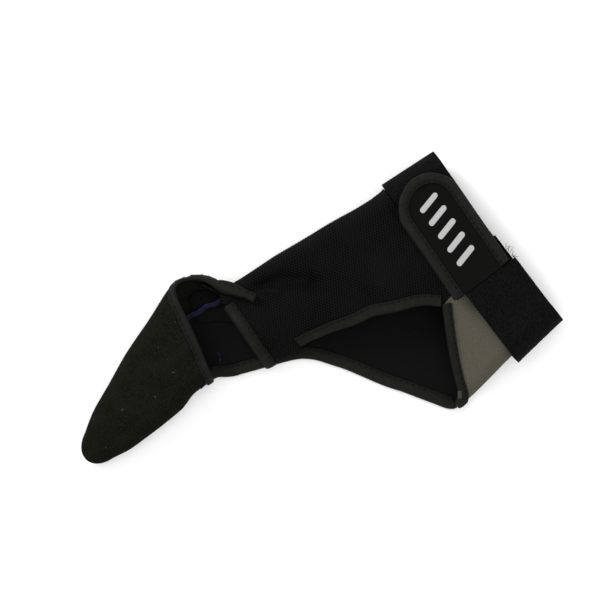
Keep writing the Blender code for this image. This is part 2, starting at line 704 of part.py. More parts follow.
def palm_outline():
    """The palm, with a tongue that runs forward under the finger."""
    gusset_side = smooth_edge(GUSSET_SEAM_ON_PALM)
    thumb_side = beside(straight_edge((TONGUE_ROOT, RADIAL_SEAM), (PANEL_START, RADIAL_SEAM)), CLEARANCE)
    tongue = beside(smooth_edge(TONGUE_SEAM), 1.3 * CLEARANCE)
    tongue = tongue[tongue[:, 0] > TONGUE_ROOT + 0.05]
    return outline_of(
        gusset_side,
        smooth_edge(PALM_OPENING),
        tongue,
        straight_edge((TONGUE_ROOT, tongue[-1][1]), (TONGUE_ROOT, thumb_side[0][1])),
        thumb_side[1:],
        straight_edge(thumb_side[-1], gusset_side[0])[1:-1],
    )


def stall_outline():
    """The finger stall, laid open along the underside, with its wing on the thumb side."""
    seam = smooth_edge(TONGUE_SEAM)
    split = int(np.argmin(np.abs(seam[:, 1] - (CUT_LINE - FULL_TURN))))
    seam[split, 1] = CUT_LINE - FULL_TURN
    open_cut = straight_edge((seam[split, 0], CUT_LINE), (FINGERTIP, CUT_LINE))
    return outline_of(
        open_cut[::-1],
        seam[: split + 1][::-1] + [0, FULL_TURN],
        smooth_edge(STALL_MOUTH),
        smooth_edge(WING_END),
        seam[split:][::-1],
        open_cut - [0, FULL_TURN],
        straight_edge((FINGERTIP, CUT_LINE - FULL_TURN), (FINGERTIP, CUT_LINE))[1:-1],
    )[::-1]


def band_outline():
    """The cuff band, which goes all round."""
    first, last = CUT_LINE - FULL_TURN, CUT_LINE
    return outline_of(
        straight_edge((0, first), (CUFF_FRONT, first)),
        straight_edge((CUFF_FRONT, first), (CUFF_FRONT, last))[1:],
        straight_edge((CUFF_FRONT, last), (0, last))[1:],
        straight_edge((0, last), (0, first))[1:-1],
    )


def strap_outline():
    """The strap on the cuff, from the tab round the little finger side to the palm."""
    root = strap_root()
    root[0][0], root[-1][0] = 0, CUFF_FRONT
    return outline_of(
        root,
        straight_edge(root[-1], (CUFF_FRONT, STRAP_END_TURN))[1:],
        straight_edge((CUFF_FRONT, STRAP_END_TURN), (0, STRAP_END_TURN))[1:],
        straight_edge((0, STRAP_END_TURN), root[0])[1:-1],
    )


def tab_edge(start=0.0):
    """The tab's side, round end and other side. It starts at a distance from the strap."""
    radius = TAB_WIDTH / 2
    straight = TAB_LENGTH - radius
    side = [(radius, start + (straight - start) * i / 5) for i in range(5)]
    arc = [math.pi * i / 12 for i in range(13)]
    shape = side + [(radius * math.cos(t), straight + radius * math.sin(t)) for t in arc]
    shape += [(-x, y) for x, y in reversed(side)]
    lean = math.radians(TAB_TURN)
    places = []
    for x, y in shape:
        along, across = TAB_SHIFT + x + y * math.sin(lean), TAB_ROOT + y * math.cos(lean)
        places.append(place_in_plan(along, across, distance=TAB_OFFSET))
    return np.array(places)


def tab_offset(places):
    return np.full(len(places), TAB_OFFSET)


def band_offset(places):
    return np.full(len(places), BAND_OFFSET)


def thumb_hole_edge(count=24):
    """The thumb hole, an oval in the palm, as stations and turns."""
    angles = [2 * math.pi * i / count for i in range(count)]
    return np.array([
        place_in_plan(
            -THUMB_ALONG * HAND_REACH + THUMB_LENGTH / 2 * math.cos(t),
            THUMB_ACROSS * WRIST_WIDTH + THUMB_WIDTH / 2 * math.sin(t),
            underside=True,
        )
        for t in angles
    ])


# Assembly

def clear_scene():
    for obj in list(bpy.data.objects):
        bpy.data.objects.remove(obj, do_unlink=True)


def build_glove():
    net_cloth = new_material("net_cloth", (0.012, 0.012, 0.012), 0.85)
    palm_cloth = new_material("palm_cloth", (0.010, 0.010, 0.011), 0.9)
    stall_suede = new_material("stall_suede", (0.017, 0.016, 0.010), 0.9)
    gusset_cloth = new_material("gusset_cloth", (0.13, 0.12, 0.10), 0.85)
    elastic = new_material("elastic", (0.010, 0.010, 0.010), 0.85)
    tab_face = new_material("tab_face", (0.009, 0.009, 0.008), 0.6)
    tape = new_material("binding_tape", (0.024, 0.023, 0.017), 0.75)
    seam_cloth = new_material("seam_cloth", (0.014, 0.014, 0.020), 0.85)

    thumb_hole = thumb_hole_edge()
    mouth = smooth_edge(STALL_MOUTH)
    opening = smooth_edge(BACK_OPENING)
    gusset_rim = trimmed(smooth_edge(GUSSET_FRONT), 1.2)
    pieces = [
        cut_piece("back_panel", back_panel_outline(), MESH_WALL, back_offset, net_cloth, turns=BACK_TURN_NET),
        cut_piece("palm_panel", palm_outline(), PALM_WALL, no_offset, palm_cloth, hole=thumb_hole),
        cut_piece("side_gusset", gusset_outline(), GUSSET_WALL, no_offset, gusset_cloth),
        cut_piece("finger_stall", stall_outline(), STALL_WALL, wing_offset, stall_suede),
        cut_piece("cuff_band", band_outline(), BAND_WALL, band_offset, elastic),
        cut_piece("wrist_strap", strap_outline(), STRAP_WALL, strap_offset, elastic),
        cut_piece("strap_tab", tab_edge(), TAB_WALL, tab_offset, tab_face),
        bind_edge("tab_binding", tab_edge(0.6), TAB_WALL, tab_offset, tape),
        bind_edge("stall_mouth_binding", mouth, STALL_WALL, wing_offset, tape, reach=MOUTH_TAPE_REACH),
        bind_edge("back_front_binding", smooth_edge(BACK_FRONT), MESH_WALL, back_offset, tape),
        bind_edge("back_opening_binding", opening, MESH_WALL, back_offset, tape, cloth_side=-1),
        bind_edge("gusset_binding", gusset_rim, GUSSET_WALL, no_offset, tape, reach=GUSSET_TAPE_REACH),
        bind_edge("palm_edge_binding", smooth_edge(PALM_OPENING), PALM_WALL, no_offset, tape),
        bind_edge("thumb_hole_binding", thumb_hole, PALM_WALL, no_offset, tape, closed=True),
        roll_seam(
            "stall_seam_roll", smooth_edge(ROLL_PATH), SEAM_RADIUS,
            -max(STALL_WALL, PALM_WALL) / 2 - CLEARANCE - SEAM_RADIUS, seam_cloth,
        ),
    ]
    stand_on_ground(pieces)


def stand_on_ground(pieces):
    """Hangs the pieces on one empty, so that the origin is under the middle of the glove, on the ground."""
    corners = np.array([v.co for piece in pieces for v in piece.data.vertices])
    low, high = corners.min(axis=0), corners.max(axis=0)
    glove = bpy.data.objects.new("glove", None)
    bpy.context.scene.collection.objects.link(glove)
    glove.location = (-(low[0] + high[0]) / 2, -(low[1] + high[1]) / 2, -low[2])
    for piece in pieces:
        piece.parent = glove


clear_scene()
build_glove()
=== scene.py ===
import math
from collections import namedtuple

import bpy
import numpy as np
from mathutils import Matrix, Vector
from mathutils.geometry import delaunay_2d_cdt


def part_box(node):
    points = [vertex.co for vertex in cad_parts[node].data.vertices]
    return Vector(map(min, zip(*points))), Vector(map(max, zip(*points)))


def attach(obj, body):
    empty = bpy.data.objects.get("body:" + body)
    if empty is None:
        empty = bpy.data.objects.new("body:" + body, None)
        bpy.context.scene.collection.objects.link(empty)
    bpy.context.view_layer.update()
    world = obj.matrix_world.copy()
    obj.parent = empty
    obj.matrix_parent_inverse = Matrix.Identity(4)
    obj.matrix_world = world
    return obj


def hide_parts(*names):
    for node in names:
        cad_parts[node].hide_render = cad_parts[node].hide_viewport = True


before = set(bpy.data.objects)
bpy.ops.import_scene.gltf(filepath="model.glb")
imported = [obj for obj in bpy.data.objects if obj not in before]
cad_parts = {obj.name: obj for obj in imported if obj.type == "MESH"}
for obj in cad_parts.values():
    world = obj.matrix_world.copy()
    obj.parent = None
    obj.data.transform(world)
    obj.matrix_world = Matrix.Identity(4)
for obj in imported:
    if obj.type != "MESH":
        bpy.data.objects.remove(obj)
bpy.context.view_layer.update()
print("frame loaded:", ", ".join(sorted(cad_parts)))

mm = 0.001

# The tube that every cloth piece is cut from. A place on it is a station (0 wrist edge, 1 cuff front,
# 6 back panel's front, 8 stall mouth, 14 fingertip) and a turn (0 thumb side fold, 1 to 3 the back,
# 4 little finger side fold, 5 to 7 the palm, the same again from -3 to -1). Lengths are in millimetres.
glove = {
    "wristWidth": 86.0, "cuffDepth": 25.0, "handReach": 79.0, "fingerReach": 84.0, "fingerWidth": 36.0,
    "fingerOffset": 47.8, "fingerLead": 2.5, "fingerTurn": 12.2, "cuffHeight": 14.0, "handHeight": 14.0,
    "fingerHeight": 16.0, "tipRounding": 22.0, "wall": 1.6, "tabWall": 1.8, "tapeWall": 0.7,
    "clearance": 0.35, "edgeStep": 10.0,
}
Section = namedtuple("Section", "radialAlong radialOut ulnarAlong ulnarOut height radialFold ulnarFold lift")
cuffSections = [
    Section(1.00, 0.944, 1.00, -0.877, 1.00, 0.86, 0.86, 1.0),
    Section(0.00, 0.988, 0.00, -0.942, 1.00, 0.86, 0.86, 1.0),
]
handSections = [
    Section(0.109, 1.008, 0.354, -1.025, 1.02, 0.86, 0.50, 0.35),
    Section(0.319, 1.056, 0.562, -0.547, 0.98, 0.84, 0.32, 0.0),
    Section(0.566, 1.110, 0.733, -0.019, 0.92, 0.84, 0.36, 0.0),
    Section(0.785, 1.140, 0.872, 0.284, 0.88, 0.86, 0.50, 0.0),
    Section(0.995, 1.221, 1.020, 0.384, 0.92, 0.88, 0.50, 0.0),
]
fingerSections = [
    Section(0.012, 0.830, 0.204, -1.390, 0.90, 0.90, 0.50, 0.0),
    Section(0.080, 1.000, 0.303, -0.945, 1.02, 0.92, 0.90, 0.0),
    Section(0.282, 0.928, 0.405, -0.844, 0.98, 0.94, 0.94, -0.35),
    Section(0.467, 0.850, 0.518, -0.850, 0.92, 0.94, 0.94, -0.5),
    Section(0.643, 0.694, 0.648, -0.739, 0.83, 0.94, 0.94, -0.5),
    Section(0.798, 0.556, 0.798, -0.578, 0.71, 0.94, 0.94, -0.5),
    Section(0.905, 0.385, 0.905, -0.385, 0.56, 0.94, 0.94, -0.5),
]
lastSection = 13.0
fingertip = 14.0
panelStart = 0.84


def tapeHalf(wall):  # half the thickness of a bound edge
    return wall / 2 + glove["clearance"] + glove["tapeWall"]


bandLayer = glove["wall"] + glove["clearance"]  # layers outwards from the tube
strapLayer = bandLayer + glove["wall"] + glove["clearance"]
tabLayer = bandLayer + glove["wall"] / 2 + glove["clearance"] + tapeHalf(glove["tabWall"])
lapLayer = glove["wall"] / 2 + glove["clearance"] + tapeHalf(glove["wall"])
tapeLift = tapeHalf(glove["wall"])
cuffLift = strapLayer + glove["wall"] / 2


def liftHeight(share):  # the tube's underside above the floor
    if share >= 0:
        return tapeLift + share * (cuffLift - tapeLift)
    return tapeLift + 2 * share * (tapeLift - glove["wall"] / 2)


def fingerPlace(along, out):
    lean = math.radians(glove["fingerTurn"])
    rootX, rootY = -glove["handReach"] - glove["fingerLead"], glove["fingerOffset"]
    return (
        rootX - along * math.cos(lean) - out * math.sin(lean),
        rootY - along * math.sin(lean) + out * math.cos(lean),
    )


def realSections():  # each row: both ends in plan, height, both folds, lift
    rows = []

    def add(s, radial, ulnar, tall):
        height = s.height * tall
        folds = s.radialFold * height / 2, s.ulnarFold * height / 2
        rows.append([*radial, *ulnar, height, *folds, liftHeight(s.lift)])

    half = glove["wristWidth"] / 2
    for sections, length, tall in (
        (cuffSections, glove["cuffDepth"], glove["cuffHeight"]),
        (handSections, -glove["handReach"], glove["handHeight"]),
    ):
        for s in sections:
            radial = s.radialAlong * length, s.radialOut * half
            add(s, radial, (s.ulnarAlong * length, s.ulnarOut * half), tall)
    reach, half = glove["fingerReach"], glove["fingerWidth"] / 2
    for s in fingerSections:
        radial = fingerPlace(s.radialAlong * reach, s.radialOut * half)
        add(s, radial, fingerPlace(s.ulnarAlong * reach, s.ulnarOut * half), glove["fingerHeight"])
    return np.array(rows)


def evenSlopes(values):  # slopes of a curve that never swings past its rows
    steps = np.diff(values, axis=0)
    slopes = np.zeros_like(values)
    slopes[0], slopes[-1] = steps[0], steps[-1]
    before, after = steps[:-1], steps[1:]
    sameWay = before * after > 0
    slopes[1:-1] = np.where(sameWay, 2 * before * after / np.where(sameWay, before + after, 1.0), 0.0)
    return slopes


sectionRows = realSections()
bodyRows = sectionRows[1:]
bodySlopes = evenSlopes(bodyRows)
bodySlopes[0, 4:] = 0


def sectionAt(station):
    station = np.asarray(station, float)
    straight = sectionRows[0] + station[:, None] * (sectionRows[1] - sectionRows[0])
    place = np.clip(station - 1, 0, len(bodyRows) - 1)
    i = np.minimum(place.astype(int), len(bodyRows) - 2)
    t = (place - i)[:, None]
    curved = (
        bodyRows[i] * (1 + 2 * t) * (1 - t) ** 2
        + bodySlopes[i] * t * (1 - t) ** 2
        + bodyRows[i + 1] * t * t * (3 - 2 * t)
        + bodySlopes[i + 1] * t * t * (t - 1)
    )
    return np.where((station < 1)[:, None], straight, curved)


def surface(station, turn):
    station, turn = np.broadcast_arrays(np.asarray(station, float), np.asarray(turn, float))
    row = sectionAt(station)
    radial, ulnar, height, near, far, lift = row[:, 0:2], row[:, 2:4], *row[:, 4:].T
    width = np.linalg.norm(ulnar - radial, axis=1)
    flat = width - near - far
    pastEdge = np.maximum(-3 - turn, 0) * glove["edgeStep"]
    turn = (np.maximum(turn, -3) + 1) % 8 - 1
    share, nearAngle, farAngle = (turn - 1) / 2, turn * math.pi / 2, (turn - 4) * math.pi / 2
    shoulder = 2 * (near + (far - near) * share * share * (3 - 2 * share))
    crown = (4 * share * (1 - share)) ** 2 * (height - near - far)
    where = [turn < 1, turn < 3, turn < 5]  # thumb side fold, back, little finger side fold, then the palm
    across = np.select(
        where, [near * (1 - np.cos(nearAngle)), near + flat * share, width - far * (1 - np.cos(farAngle))],
        width - far - flat * (turn - 5) / 2 + pastEdge,
    )
    up = np.select(where, [near * (1 + np.sin(nearAngle)), shoulder + crown, far * (1 - np.sin(farAngle))], 0.0)
    taper = math.radians(glove["tipRounding"])  # the fingertip is a dome
    dome = taper + np.clip(station - lastSection, 0, 1) * (math.pi / 2 - taper)
    shrink = np.cos(dome) / math.cos(taper)
    tipLength = glove["fingerReach"] * (1 - fingerSections[-1].radialAlong) - glove["wall"] / 2
    push = tipLength * (np.sin(dome) - math.sin(taper)) / (1 - math.sin(taper))
    unit = (ulnar - radial) / width[:, None]
    plan = (radial + ulnar) / 2 + unit * ((across - width / 2) * shrink)[:, None]
    plan = plan + fingerAhead() * push[:, None]
    return np.column_stack([plan, lift + height / 2 + (up - height / 2) * shrink])


def fingerAhead():
    lean = math.radians(glove["fingerTurn"])
    return np.array([-math.cos(lean), -math.sin(lean)])


def unrolled(places):  # the same cloth laid flat, for patterns that follow it
    row = sectionAt(places[:, 0])
    radial, ulnar, near, far = row[:, 0:2], row[:, 2:4], row[:, 5], row[:, 6]
    width = np.linalg.norm(ulnar - radial, axis=1)
    flat, turn, quarter = width - near - far, places[:, 1], math.pi / 2
    across = near + near * quarter * (np.clip(turn, -1, 1) - 1)
    across += flat * (np.clip(turn, -3, -1) + 1) / 2 + glove["edgeStep"] * np.minimum(turn + 3, 0)
    across += flat * (np.clip(turn, 1, 3) - 1) / 2 + far * quarter * (np.clip(turn, 3, 5) - 3)
    across += flat * np.maximum(turn - 5, 0) / 2
    tip = np.clip(places[:, 0] - lastSection, 0, 1) * glove["fingerReach"] * 0.12
    return radial + (ulnar - radial) / width[:, None] * across[:, None] + fingerAhead() * tip[:, None]


def normals(station, turn):
    step = 1e-3
    station = np.minimum(np.asarray(station, float), fingertip - 0.05)
    turn = np.asarray(turn, float)
    ahead = np.where(station > 1, step, 0)
    along = surface(station + ahead, turn) - surface(station - step, turn)
    around = surface(station, turn + step) - surface(station, turn - step)
    return unitRows(np.cross(along, around))


def unitRows(rows):
    return rows / np.linalg.norm(rows, axis=1)[:, None]


def walk(places, direction, distance, steps=16):  # straight ahead over the cloth
    places, direction = np.array(places, float), np.array(direction, float)
    step = 1e-3
    for _ in range(steps):
        station, turn = places[:, 0], places[:, 1]
        along = (surface(station + step, turn) - surface(station - step, turn)) / (2 * step)
        around = (surface(station, turn + step) - surface(station, turn - step)) / (2 * step)
        normal = unitRows(np.cross(along, around))
        direction = unitRows(direction - normal * np.sum(direction * normal, axis=1)[:, None])
        aa, ab, bb = (np.sum(p * q, axis=1) for p, q in ((along, along), (along, around), (around, around)))
        da, db = np.sum(direction * along, axis=1), np.sum(direction * around, axis=1)
        share = distance / steps / (aa * bb - ab * ab)
        places += np.column_stack([da * bb - db * ab, db * aa - da * ab]) * share[:, None]
    return places


def leftOf(edge, closed=False):
    middle = surface(*edge.T)
    if closed:
        tangent = np.roll(middle, -1, axis=0) - np.roll(middle, 1, axis=0)
    else:
        tangent = np.gradient(middle, axis=0)
    return unitRows(np.cross(normals(*edge.T), tangent))


def beside(edge, distance):
    return walk(edge, leftOf(edge) * math.copysign(1, distance), abs(distance))


def eased(rows, closed=False, reach=4):  # rows smoothed along their run
    ends = ((reach, reach), (0, 0))
    padded = np.pad(rows, ends, "wrap") if closed else np.pad(rows, ends, "reflect", reflect_type="odd")
    weights = np.hanning(2 * reach + 3)[1:-1]
    return np.column_stack([np.convolve(column, weights / weights.sum(), "valid") for column in padded.T])


def shellPoints(places, distance):
    return surface(*places.T) + normals(*places.T) * np.reshape(distance, (-1, 1))


def pointAt(place, distance):
    return shellPoints(np.array([place]), distance)[0]


def placeInPlan(x, y, underside=False, distance=0.0):  # the place seen at a point from above or below
    low, high = -1.0, lastSection
    for _ in range(40):
        middle = (low + high) / 2
        row = sectionAt([middle])[0]
        line = row[2:4] - row[0:2]
        ahead = line[0] * (y - row[1]) - line[1] * (x - row[0])
        low, high = (middle, high) if ahead < 0 else (low, middle)
    row = sectionAt([low])[0]
    width = math.dist(row[0:2], row[2:4])
    across = np.dot([x - row[0], y - row[1]], (row[2:4] - row[0:2]) / width)
    flat = width - row[5] - row[6]
    if across < row[5]:
        turn = math.acos(1 - max(across + distance, 0) / (row[5] + distance)) * 2 / math.pi
        return low, -turn if underside else turn
    if underside:
        pastEdge = max(across - width + row[6], 0) / glove["edgeStep"]
        return low, -1 - 2 * min((across - row[5]) / flat, 1) - pastEdge
    if across > width - row[6]:
        return low, 4 - math.acos(1 - max(width - across + distance, 0) / (row[6] + distance)) * 2 / math.pi
    return low, 1 + 2 * (across - row[5]) / flat


def smoothStep(value, start, end):
    t = np.clip((value - start) / (end - start), 0, 1)
    return t * t * (3 - 2 * t)


def billow(plan, wave, seed):  # soft uneven waves between about -1 and 1
    rng = np.random.default_rng(seed)
    total = np.zeros(len(plan))
    for _ in range(6):
        angle, phase = rng.uniform(0, 2 * math.pi, 2)
        k = 2 * math.pi / (wave * rng.uniform(0.7, 1.5))
        total += np.sin(k * (plan[:, 0] * math.cos(angle) + plan[:, 1] * math.sin(angle)) + phase)
    return total / 4


# Cutting and sewing

def knotsToEdge(knots, step=0.9):  # a smooth run through the knots, with a point every step
    knots = np.array(knots, float)
    ends = np.concatenate([[2 * knots[0] - knots[1]], knots, [2 * knots[-1] - knots[-2]]])
    fine = []
    for p0, p1, p2, p3 in zip(ends[:-3], ends[1:-2], ends[2:-1], ends[3:]):
        bend, turnBack = 2 * p0 - 5 * p1 + 4 * p2 - p3, 3 * p1 - p0 - 3 * p2 + p3
        fine += [0.5 * (2 * p1 + (p2 - p0) * t + bend * t**2 + turnBack * t**3) for t in np.arange(16) / 16]
    return evenly(np.array(fine + [knots[-1]]), step)


def evenly(edge, step):
    run = runOf(surface(*edge.T))
    at = np.linspace(0, run[-1], max(2, math.ceil(run[-1] / step) + 1))
    return np.column_stack([np.interp(at, run, edge[:, 0]), np.interp(at, run, edge[:, 1])])


def runOf(points):
    return np.concatenate([[0], np.cumsum(np.linalg.norm(np.diff(points, axis=0), axis=1))])


def straightEdge(start, end, step=0.9):
    return evenly(np.linspace(start, end, 120), step)


def outlineOf(*edges):
    points = np.concatenate(edges)
    following = np.roll(points, -1, axis=0)
    return points[np.linalg.norm(following - points, axis=1) > 1e-6]


def netLines(*runs):  # lines of a net from (start, end, step) rows
    lines = np.concatenate([np.arange(start, end - step / 2, step) for start, end, step in runs])
    return np.append(lines, runs[-1][1])


def inside(points, outline):
    x, y = points[:, 0], points[:, 1]
    odd = np.zeros(len(points), bool)
    for (x0, y0), (x1, y1) in zip(outline, np.roll(outline, -1, axis=0)):
        if y0 != y1:
            odd ^= ((y0 > y) != (y1 > y)) & (x < x0 + (y - y0) * (x1 - x0) / (y1 - y0))
    return odd


def distanceTo(points, line, closed=True):
    start, side = line, np.roll(line, -1, axis=0) - line
    if not closed:
        start, side = start[:-1], side[:-1]
    nearest = np.full(len(points), np.inf)
    for a, b in zip(start, side):
        share = np.clip((points - a) @ b / max(b @ b, 1e-12), 0, 1)
        nearest = np.minimum(nearest, np.linalg.norm(points - a - share[:, None] * b, axis=1))
    return nearest


def netOf(outline, hole, stations, turns):
    def cells(places):
        return np.column_stack([
            np.interp(places[:, 0], stations, np.arange(len(stations))),
            np.interp(places[:, 1], turns, np.arange(len(turns))),
        ])

    rims = [cells(outline)] + ([] if hole is None else [cells(hole)])
    line, column = np.meshgrid(np.arange(len(stations)), np.arange(len(turns)), indexing="ij")
    lattice = np.column_stack([line.ravel(), column.ravel()]).astype(float)
    lattice = lattice[inside(lattice, rims[0])]
    for rim in rims:
        lattice = lattice[distanceTo(lattice, rim) > 0.4]
    if hole is not None:
        lattice = lattice[~inside(lattice, rims[1])]
    sides, first = [], 0
    for rim in rims:
        sides += [(first + i, first + (i + 1) % len(rim)) for i in range(len(rim))]
        first += len(rim)
    found = delaunay_2d_cdt([Vector(p) for p in np.concatenate(rims + [lattice])], sides, [], 0, 1e-5)
    grid = np.array([tuple(v) for v in found[0]])
    faces = np.array([tuple(f) for f in found[2]])
    centres = grid[faces].mean(axis=1)
    wanted = inside(centres, rims[0])
    if hole is not None:
        wanted &= ~inside(centres, rims[1])
    places = np.column_stack([
        np.interp(grid[:, 0], np.arange(len(stations)), stations),
        np.interp(grid[:, 1], np.arange(len(turns)), turns),
    ])
    return places, faces[wanted]


def cutCloth(name, outline, wall, offset, material, stations, turns, hole=None, skin=False, thin=None):
    places, faces = netOf(outline, hole, stations, turns)
    flat = unrolled(places)
    middle = np.round(surface(*places.T), 3)
    _, first, same = np.unique(middle, axis=0, return_index=True, return_inverse=True)
    sewn = same.reshape(-1)[faces]
    whole = (sewn[:, 0] != sewn[:, 1]) & (sewn[:, 1] != sewn[:, 2]) & (sewn[:, 2] != sewn[:, 0])
    sewn, faces, spots = sewn[whole], faces[whole], places[first]
    distance = offset(spots)
    if thin:
        wall = wall * thin(spots)
    outer = shellPoints(spots, distance + wall / 2)
    if skin:  # the outer face alone, to set other things on
        return newPiece(name, outer, sewn, flat[faces], material)
    inner = shellPoints(spots, distance - wall / 2)
    count = len(spots)
    sides = {}
    for face, spot in zip(sewn, faces):
        for k in range(3):
            sides[(face[k], face[(k + 1) % 3])] = (spot[k], spot[(k + 1) % 3])
    rim, rimFlat = [], []
    for (a, b), (p, q) in sides.items():
        if (b, a) not in sides:
            rim += [(b, a, a + count), (b, a + count, b + count)]
            rimFlat += [(flat[q], flat[p], flat[p]), (flat[q], flat[p], flat[q])]
    allFaces = np.concatenate([sewn, sewn[:, ::-1] + count, np.array(rim)])
    allFlat = np.concatenate([flat[faces], flat[faces[:, ::-1]], np.array(rimFlat)])
    return newPiece(name, np.concatenate([outer, inner]), allFaces, allFlat, material)


def newPiece(name, points, faces, flat, material, sharp=50):
    corners = points[faces]
    volume = np.sum(corners[:, 0] * np.cross(corners[:, 1], corners[:, 2]))
    up = np.cross(corners[:, 1] - corners[:, 0], corners[:, 2] - corners[:, 0])[:, 2].sum()
    closed = abs(up) < 1e-3 * np.abs(corners).max() ** 2
    if (volume < 0) if closed else (up < 0):
        faces, flat = faces[:, ::-1], flat[:, ::-1]
    mesh = bpy.data.meshes.new(name)
    mesh.from_pydata(((points + handShift) * mm).tolist(), [], faces.tolist())
    layer = mesh.uv_layers.new(name="cloth")
    layer.data.foreach_set("uv", np.ascontiguousarray(flat, np.float32).ravel())
    mesh.validate()
    mesh.materials.append(material)
    mesh.shade_smooth()
    mesh.set_sharp_from_angle(angle=math.radians(sharp))
    piece = bpy.data.objects.new(name, mesh)
    bpy.context.scene.collection.objects.link(piece)
    return piece


def sweepRings(name, rings, material, closed=False, sharp=50, girth=None):  # rings: (ring, point, xyz)
    rings = np.asarray(rings)
    count, size = rings.shape[:2]
    middle = rings.mean(axis=1)
    run = runOf(np.concatenate([middle, middle[:1]]) if closed else middle)
    if girth is None:
        girth = runOf(np.concatenate([rings[0], rings[0][:1]]))
    faces, flat = [], []
    for i in range(count if closed else count - 1):
        here, there = i * size, (i + 1) % count * size
        for j in range(size):
            k = (j + 1) % size
            a, b = (run[i], girth[j]), (run[i], girth[j + 1])
            c, d = (run[i + 1], girth[j + 1]), (run[i + 1], girth[j])
            faces += [(here + j, here + k, there + k), (here + j, there + k, there + j)]
            flat += [(a, b, c), (a, c, d)]
    if not closed:
        for first, order in ((0, -1), ((count - 1) * size, 1)):
            for j in range(1, size - 1):
                fan = [(first, first + j, first + j + 1), ((0, 0), (0, girth[j]), (0, girth[j + 1]))]
                faces.append(fan[0][::order])
                flat.append(fan[1][::order])
    return newPiece(name, rings.reshape(-1, 3), np.array(faces), np.array(flat), material, sharp)


def tube(name, path, radius, material, sides=8):  # a round thread or roll along points
    path = np.asarray(path, float)
    radius = np.broadcast_to(radius, (len(path),))
    tangent = unitRows(np.gradient(path, axis=0))
    guide = np.where(np.abs(tangent[:, 2:3]) > 0.9, [[1.0, 0, 0]], [[0, 0, 1.0]])
    side = unitRows(np.cross(tangent, guide))
    up = np.cross(side, tangent)
    angles = np.arange(sides) * 2 * math.pi / sides
    rings = path[:, None] + radius[:, None, None] * (
        np.cos(angles)[None, :, None] * side[:, None] + np.sin(angles)[None, :, None] * up[:, None]
    )
    return sweepRings(name, rings, material)


def dress(piece, slot, *nodes):  # the piece rides on the glove and stands for solids
    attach(piece, "root")
    if nodes:
        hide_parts(*nodes)


def joined(name, pieces):
    with bpy.context.temp_override(active_object=pieces[0], selected_editable_objects=pieces):
        bpy.ops.object.join()
    pieces[0].name = name
    pieces[0].data.name = name
    return pieces[0]


# Node trees: sums on sockets, and the finishes made of them

class Wire:  # a socket that takes part in sums
    def __init__(self, graph, socket):
        self.graph, self.socket = graph, socket

    def sum(self, operation, *others):
        return self.graph.node("ShaderNodeMath", {"operation": operation}, dict(enumerate([self, *others])))

    def __add__(self, other):
        return self.sum("ADD", other)

    def __sub__(self, other):
        return self.sum("SUBTRACT", other)

    def __rsub__(self, other):
        return self * -1.0 + other

    def __mul__(self, other):
        return self.sum("MULTIPLY", other)

    def __truediv__(self, other):
        return self.sum("DIVIDE", other)

    __radd__, __rmul__ = __add__, __mul__

    def wave(self):  # between 0 and 1
        return self.sum("SINE") * 0.5 + 0.5


class Graph:
    vector = {"data_type": "FLOAT_VECTOR"}

    def __init__(self, tree):
        self.tree = tree

    def node(self, kind, settings=None, inputs=None, output=0):
        made = self.tree.nodes.new(kind)
        for key, value in (settings or {}).items():
            setattr(made, key, value)
        for place, value in (inputs or {}).items():
            self.feed(made.inputs[place], value)
        return Wire(self, made.outputs[output])

    def feed(self, socket, value):
        if isinstance(value, Wire):
            self.tree.links.new(value.socket, socket)
        else:
            socket.default_value = value

    def parts(self, vector):
        outputs = self.node("ShaderNodeSeparateXYZ", None, {0: vector}).socket.node.outputs
        return [Wire(self, output) for output in outputs]

    def attribute(self, name):
        return self.node("GeometryNodeInputNamedAttribute", self.vector, {"Name": name})

    def stored(self, geometry, name, value):
        inputs = {"Geometry": geometry, "Name": name, "Value": value}
        return self.node("GeometryNodeStoreNamedAttribute", {**self.vector, "domain": "POINT"}, inputs)

    def moved(self, geometry, place):
        return self.node("GeometryNodeSetPosition", None, {"Geometry": geometry, "Position": place})

    def settled(self, points, instance, rotation, scale):
        return self.node("GeometryNodeInstanceOnPoints", None, {
            "Points": points, "Instance": instance, "Rotation": rotation, "Scale": scale,
        })

    def aligned(self, normal, along):
        turn = self.node("FunctionNodeAlignRotationToVector", {"axis": "Z"}, {"Vector": normal})
        settings = {"axis": "X", "pivot_axis": "Z"}
        return self.node("FunctionNodeAlignRotationToVector", settings, {"Rotation": turn, "Vector": along})


